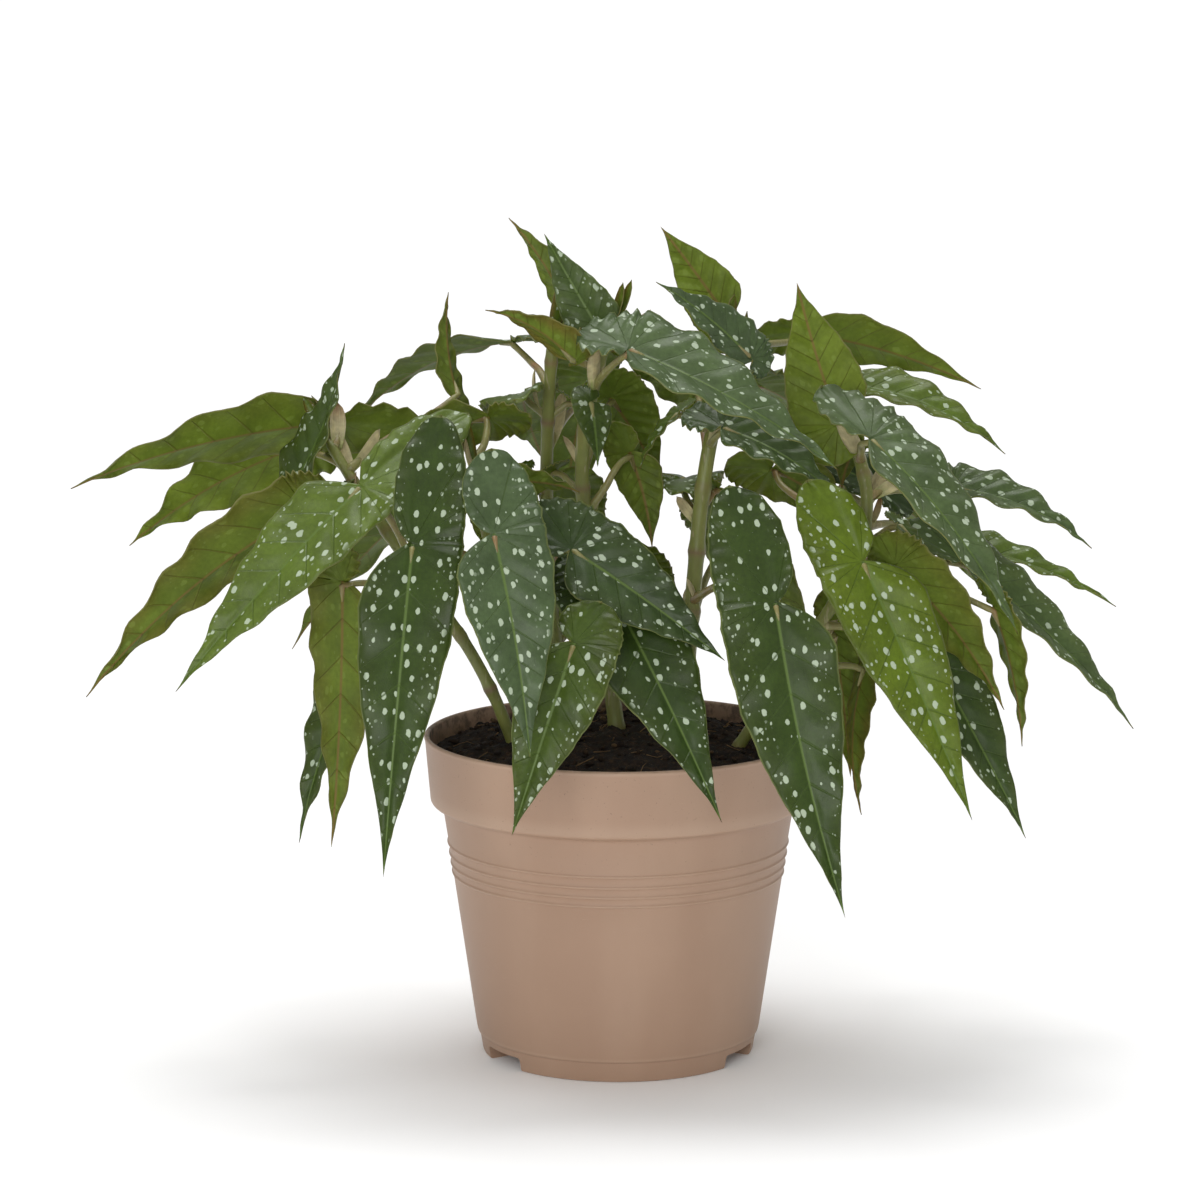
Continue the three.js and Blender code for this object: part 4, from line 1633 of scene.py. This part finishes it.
def bract_mesh() -> bmesh.types.BMesh:
    """Start a sheet mesh with the layers that bracts and young leaves mark."""
    bm = bmesh.new()
    for name in ("along", "dryness", "veins", "share", "rib", "ring"):
        bm.verts.layers.float.new(name)
    bm.verts.layers.float_color.new("tone")
    bm.loops.layers.uv.new("blade")
    return bm


# ---- The whole plant --------------------------------------------------------------------------

CANE_NAMES = ("left", "front_left", "centre_left", "centre", "centre_right", "right")

# Each leaf: its name, its cane, and how pale, how flushed and how silvery it is
LEAVES = (
    Leaf("far_left_high", "left", 0.6, 0.15, 0.1),
    Leaf("far_left_broad", "left", 0.75, 0.05, 0.0),
    Leaf("left_upright", "left", 0.25, 0.1, 0.2),
    Leaf("far_left_low", "left", 0.5, 0.4, 0.1),
    Leaf("left_pale", "left", 0.8, 0.05, 0.3),
    Leaf("left_hanging", "left", 0.5, 0.3, 0.0),
    Leaf("left_shaded", "left", 0.2, 0.1, 0.1),
    Leaf("front_left", "front_left", 0.15, 0.05, 0.1),
    Leaf("front_middle", "front_left", 0.25, 0.0, 0.8),
    Leaf("front_low", "front_left", 0.3, 0.1, 0.1),
    Leaf("middle_slanting", "front_left", 0.1, 0.05, 0.3),
    Leaf("middle_drooping", "centre", 0.1, 0.05, 0.1),
    Leaf("front_right", "centre_right", 0.15, 0.05, 0.1),
    Leaf("right_pale", "right", 0.75, 0.1, 0.0),
    Leaf("right_long", "right", 0.45, 0.05, 0.8),
    Leaf("far_right_low", "right", 0.4, 0.1, 0.6),
    Leaf("right_upright", "right", 0.7, 0.05, 0.0),
    Leaf("right_high", "centre_right", 0.7, 0.15, 0.1),
    Leaf("right_curled", "right", 0.7, 0.2, 0.2),
    Leaf("right_under", "right", 0.6, 0.3, 0.1),
    Leaf("far_right_narrow", "right", 0.4, 0.2, 0.3),
    Leaf("far_right_high", "right", 0.4, 0.1, 0.7),
    Leaf("far_right_thin", "right", 0.7, 0.1, 0.2),
    Leaf("right_dark", "right", 0.15, 0.1, 0.2),
    Leaf("right_olive", "right", 0.5, 0.4, 0.0),
    Leaf("right_thin_tail", "right", 0.4, 0.5, 0.0),
    Leaf("top_spotted", "centre", 0.4, 0.05, 0.5),
    Leaf("top_brown", "centre", 0.5, 0.7, 0.1),
    Leaf("top_pointed", "centre_left", 0.6, 0.1, 0.2),
    Leaf("top_silver", "centre", 0.5, 0.0, 0.9),
    Leaf("top_blue", "centre_right", 0.2, 0.0, 0.7),
    Leaf("top_bright", "centre_right", 0.85, 0.0, 0.1),
    Leaf("under_silver", "centre_right", 0.2, 0.0, 0.4),
    Leaf("round_back", "centre_left", 0.5, 0.1, 0.0),
    Leaf("thin_back", "left", 0.4, 0.2, 0.2),
    Leaf("inner_olive", "front_left", 0.4, 0.2, 0.0),
    Leaf("inner_green", "front_left", 0.4, 0.1, 0.1),
    Leaf("middle_grey", "centre", 0.5, 0.05, 0.2),
    Leaf("middle_hanging", "centre", 0.4, 0.1, 0.1),
    Leaf("back_pale", "centre_right", 0.6, 0.1, 0.3),
    Leaf("back_round", "centre_right", 0.4, 0.1, 0.1),
    Leaf("inner_right", "right", 0.4, 0.2, 0.1),
    Leaf("inner_dark", "right", 0.1, 0.05, 0.3),
    Leaf("back_left_high", "centre_left", 0.4, 0.1, 0.4),
    Leaf("back_left_low", "left", 0.25, 0.05, 0.3),
    Leaf("back_middle_high", "centre_left", 0.35, 0.1, 0.5),
    Leaf("back_middle_low", "centre_left", 0.2, 0.1, 0.2),
    Leaf("back_right_high", "right", 0.4, 0.1, 0.4),
    Leaf("back_right_low", "centre_right", 0.25, 0.1, 0.2),
    Leaf("back_far_right", "right", 0.45, 0.1, 0.3),
    Leaf("back_low", "centre_left", 0.2, 0.1, 0.1),
)


@dataclass
class InnerLeaves:
    """Small young leaves on the canes, deep inside the plant, which have no solid of their own.

    Attributes:
        seed: What their small differences are drawn from.
        shares: Where on each cane they grow, as shares of its length.
        reach: The shortest and longest stalk in millimetres.
        length: The shortest and longest blade.
        turn: How far each one's bearing turns on from the last, in degrees.
    """

    seed: int = 7
    shares: tuple[float, ...] = (0.62, 0.8)
    reach: tuple[float, float] = (12.0, 22.0)
    length: tuple[float, float] = (24.0, 36.0)
    turn: float = 137.0

    def build(self, number: int, canes: dict[str, Cane], skins: Sequence[bpy.types.Material]) -> None:
        """Build them.

        Args:
            number: The first one's place in the whole list of leaves.
            canes: The canes by name.
            skins: The leaf materials, in the order of Skin.
        """
        dice = random.Random(self.seed)
        count = 0
        for name, cane in canes.items():
            for share in self.shares:
                bearing = math.radians(self.turn * count + 40)
                away = Vector((math.cos(bearing), math.sin(bearing), 0))
                root = cane.at(share)
                foot = root + (away + Vector((0, 0, 0.7))).normalized() * dice.uniform(*self.reach) * MM
                long = dice.uniform(*self.length) * MM
                tip = foot + (away * 0.6 + Vector((0, 0, -0.8))).normalized() * long
                out = (away + Vector((0, 0, 0.6))).normalized()
                stalk = tuple(root.lerp(foot, k / 40) for k in range(41))
                hand = 1 if count % 2 else -1
                lie = LeafLie(stalk, foot, tip, out, long * 0.26 * hand, long * 0.3, 2 * MM, 0.2)
                leaf = Leaf(f"inner_{count}", name, dice.uniform(0.1, 0.5), dice.uniform(0, 0.2),
                            dice.uniform(0, 0.4), rows=44, columns=15)
                leaf.build(number + count, cane, lie, skins)
                count += 1


@dataclass
class Stipules:
    """The papery stipules at the joints and the young leaves at the canes' tops."""

    seed: int = 5
    thickness: float = 0.28

    @staticmethod
    def joints(lies: Sequence[LeafLie]) -> list[tuple[Vector, Vector]]:
        """List where leaves leave their canes, and which way each goes.

        Args:
            lies: How the leaves lie.

        Returns:
            Pairs of a point and a direction.
        """
        found = []
        for lie in lies:
            away = lie.foot - lie.stalk[0]
            away.z *= 0.4
            found.append((lie.stalk[0], away.normalized()))
        return found

    def build(self, lies: Sequence[LeafLie], paper: bpy.types.Material) -> bpy.types.Object:
        """Build the stipules as one piece.

        Args:
            lies: How the leaves lie.
            paper: Their papery skin.

        Returns:
            The piece.
        """
        bm = bract_mesh()
        dice = random.Random(self.seed)
        for i, (root, away) in enumerate(self.joints(lies)):
            if i % 4 == 3:
                continue
            side = away.cross(Vector((0, 0, 1))).normalized() * dice.uniform(-0.7, 0.7)
            way = Vector((0, 0, 1)) * dice.uniform(0.5, 1.2) + away * dice.uniform(0.4, 1.0) + side
            size = dice.uniform(12, 26)
            Bract(root, way, -away, size, size * dice.uniform(0.22, 0.36), dice.random() ** 2,
                  dice.uniform(-0.2, 0.4)).add_to(bm, i)
        shell = thickened(bm, self.thickness * MM)
        return finish_piece("stipules", shell, [paper] * 4)

    def shoots(self, canes: dict[str, Cane], skins: Sequence[bpy.types.Material]) -> bpy.types.Object:
        """Build the young folded leaves at the canes' tops as one piece.

        Args:
            canes: The canes by name.
            skins: The leaf materials, in the order of Skin.

        Returns:
            The piece.
        """
        bm = bract_mesh()
        dice = random.Random(self.seed + 1)
        for i, cane in enumerate(canes.values()):
            top = cane.at(0.985)
            rise = (cane.at(1.0) - cane.at(0.9)).normalized()
            for k in range(2):
                turn = dice.uniform(0, math.tau)
                lean = Vector((math.cos(turn), math.sin(turn), 0)) * dice.uniform(0.2, 0.6)
                size = dice.uniform(16, 27)
                Bract(top, rise + lean, -lean, size, size * 0.3, 0.0, dice.uniform(0.1, 0.35)).add_to(
                    bm, 80 + 2 * i + k, (0.55, 0.9, 0.0))
        return finish_piece("young_shoots", thickened(bm, 0.4 * MM), skins)


@dataclass
class Studio:
    """The floor, the lights and the camera.

    Attributes:
        eye: Where the camera stands, in metres.
        pitch: How far it looks down, in degrees.
        lens: Its focal length in millimetres on a 36 mm frame.
        floor_colour: The floor's colour.
        sky_strength: How bright the white surroundings are.
        overhead_strength: How bright the light from above is, in watts to a square metre.
        overhead_angle: How wide that light is, in degrees, which softens its shadows.
    """

    eye: tuple[float, float, float] = (-0.0079, -1.9, 0.524)
    pitch: float = 9.69
    lens: float = 133.26
    floor_colour: Rgb = (0.97, 0.97, 0.97)
    sky_strength: float = 0.55
    overhead_strength: float = 1.75
    overhead_angle: float = 36.0

    def floor(self) -> None:
        """Lay the plain pale floor."""
        bm = bmesh.new()
        bmesh.ops.create_grid(bm, x_segments=1, y_segments=1, size=14)
        mesh = bpy.data.meshes.new("floor")
        bm.to_mesh(mesh)
        bm.free()
        material = bpy.data.materials.new("floor")
        material.use_nodes = True
        skin = material.node_tree.nodes["Principled BSDF"]
        skin.inputs["Base Color"].default_value = (*self.floor_colour, 1)
        skin.inputs["Roughness"].default_value = 0.9
        skin.inputs["Specular IOR Level"].default_value = 0.1
        mesh.materials.append(material)
        floor = bpy.data.objects.new("floor", mesh)
        bpy.context.scene.collection.objects.link(floor)

    def light(self, name: str, place: Sequence[float], target: Sequence[float], size: float,
              watts: float) -> None:
        """Hang a soft square light.

        Args:
            name: Its name.
            place: Where it hangs, in metres.
            target: What it points at.
            size: The length of its side.
            watts: Its power.
        """
        lamp = bpy.data.lights.new(name, "AREA")
        lamp.shape = "SQUARE"
        lamp.size = size
        lamp.energy = watts
        holder = bpy.data.objects.new(name, lamp)
        holder.location = place
        holder.rotation_euler = (Vector(target) - Vector(place)).to_track_quat("-Z", "Y").to_euler()
        bpy.context.scene.collection.objects.link(holder)

    def overhead(self, way: Sequence[float]) -> None:
        """Light everything evenly from above with one wide, far light.

        Args:
            way: The way its light travels.
        """
        lamp = bpy.data.lights.new("overhead", "SUN")
        lamp.energy = self.overhead_strength
        lamp.angle = math.radians(self.overhead_angle)
        holder = bpy.data.objects.new("overhead", lamp)
        holder.location = (0, 0, 2)
        holder.rotation_euler = Vector(way).to_track_quat("-Z", "Y").to_euler()
        bpy.context.scene.collection.objects.link(holder)

    def camera(self) -> None:
        """Set up the camera."""
        data = bpy.data.cameras.new("camera")
        data.lens = self.lens
        data.sensor_width = 36
        data.clip_end = 60
        holder = bpy.data.objects.new("camera", data)
        holder.location = self.eye
        holder.rotation_euler = (math.radians(90 - self.pitch), 0, 0)
        bpy.context.scene.collection.objects.link(holder)
        bpy.context.scene.camera = holder

    def build(self) -> None:
        """Build the studio."""
        self.camera()
        self.floor()
        world = bpy.data.worlds.new("studio")
        world.use_nodes = True
        sky = world.node_tree.nodes["Background"]
        sky.inputs["Color"].default_value = (1, 1, 1, 1)
        sky.inputs["Strength"].default_value = self.sky_strength
        scene = bpy.context.scene
        scene.world = world
        scene.view_settings.view_transform = "Standard"
        scene.view_settings.look = "None"
        self.overhead((0.05, -0.22, -1.0))
        self.light("front", (-0.5, -2.4, 0.8), (0, 0, 0.2), 1.2, 24)


def main() -> None:
    """Build the plant and its studio."""
    logging.basicConfig(level=logging.INFO, format="%(name)s: %(message)s")
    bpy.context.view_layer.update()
    Studio().build()
    effects = Effects()
    Pot().build(PotFinish().build("taupe_plastic", effects))
    Soil().build(SoilFinish().build("potting_soil", effects))
    canes = {name: Cane(name, Solid(f"cane_{name}")) for name in CANE_NAMES}
    cane_skin = CANE_SKIN.build("cane_skin", effects)
    for cane in canes.values():
        cane.build(cane_skin)
    # The underside finish, also used on the blades' rims, has painted light shining through in its colours.
    under = UNDER_SKIN_PAINTED_BACKLIGHT.build("leaf_under", effects)
    skins = [UPPER_SKIN.build("leaf_upper", effects), under, under, STALK_SKIN.build("stalk_skin", effects)]
    lies = []
    for number, leaf in enumerate(LEAVES):
        cane = canes[leaf.cane]
        node = f"leaf_{leaf.name}"
        lies.append(LeafGauge(Solid(node), cane.solid).lie())
        leaf.build(number, cane, lies[-1], skins, [node])
    InnerLeaves().build(len(LEAVES), canes, skins)
    stipules = Stipules()
    stipules.build(lies, PaperFinish().build("papery_skin", effects))
    stipules.shoots(canes, skins)


if __name__ == "__main__":
    main()
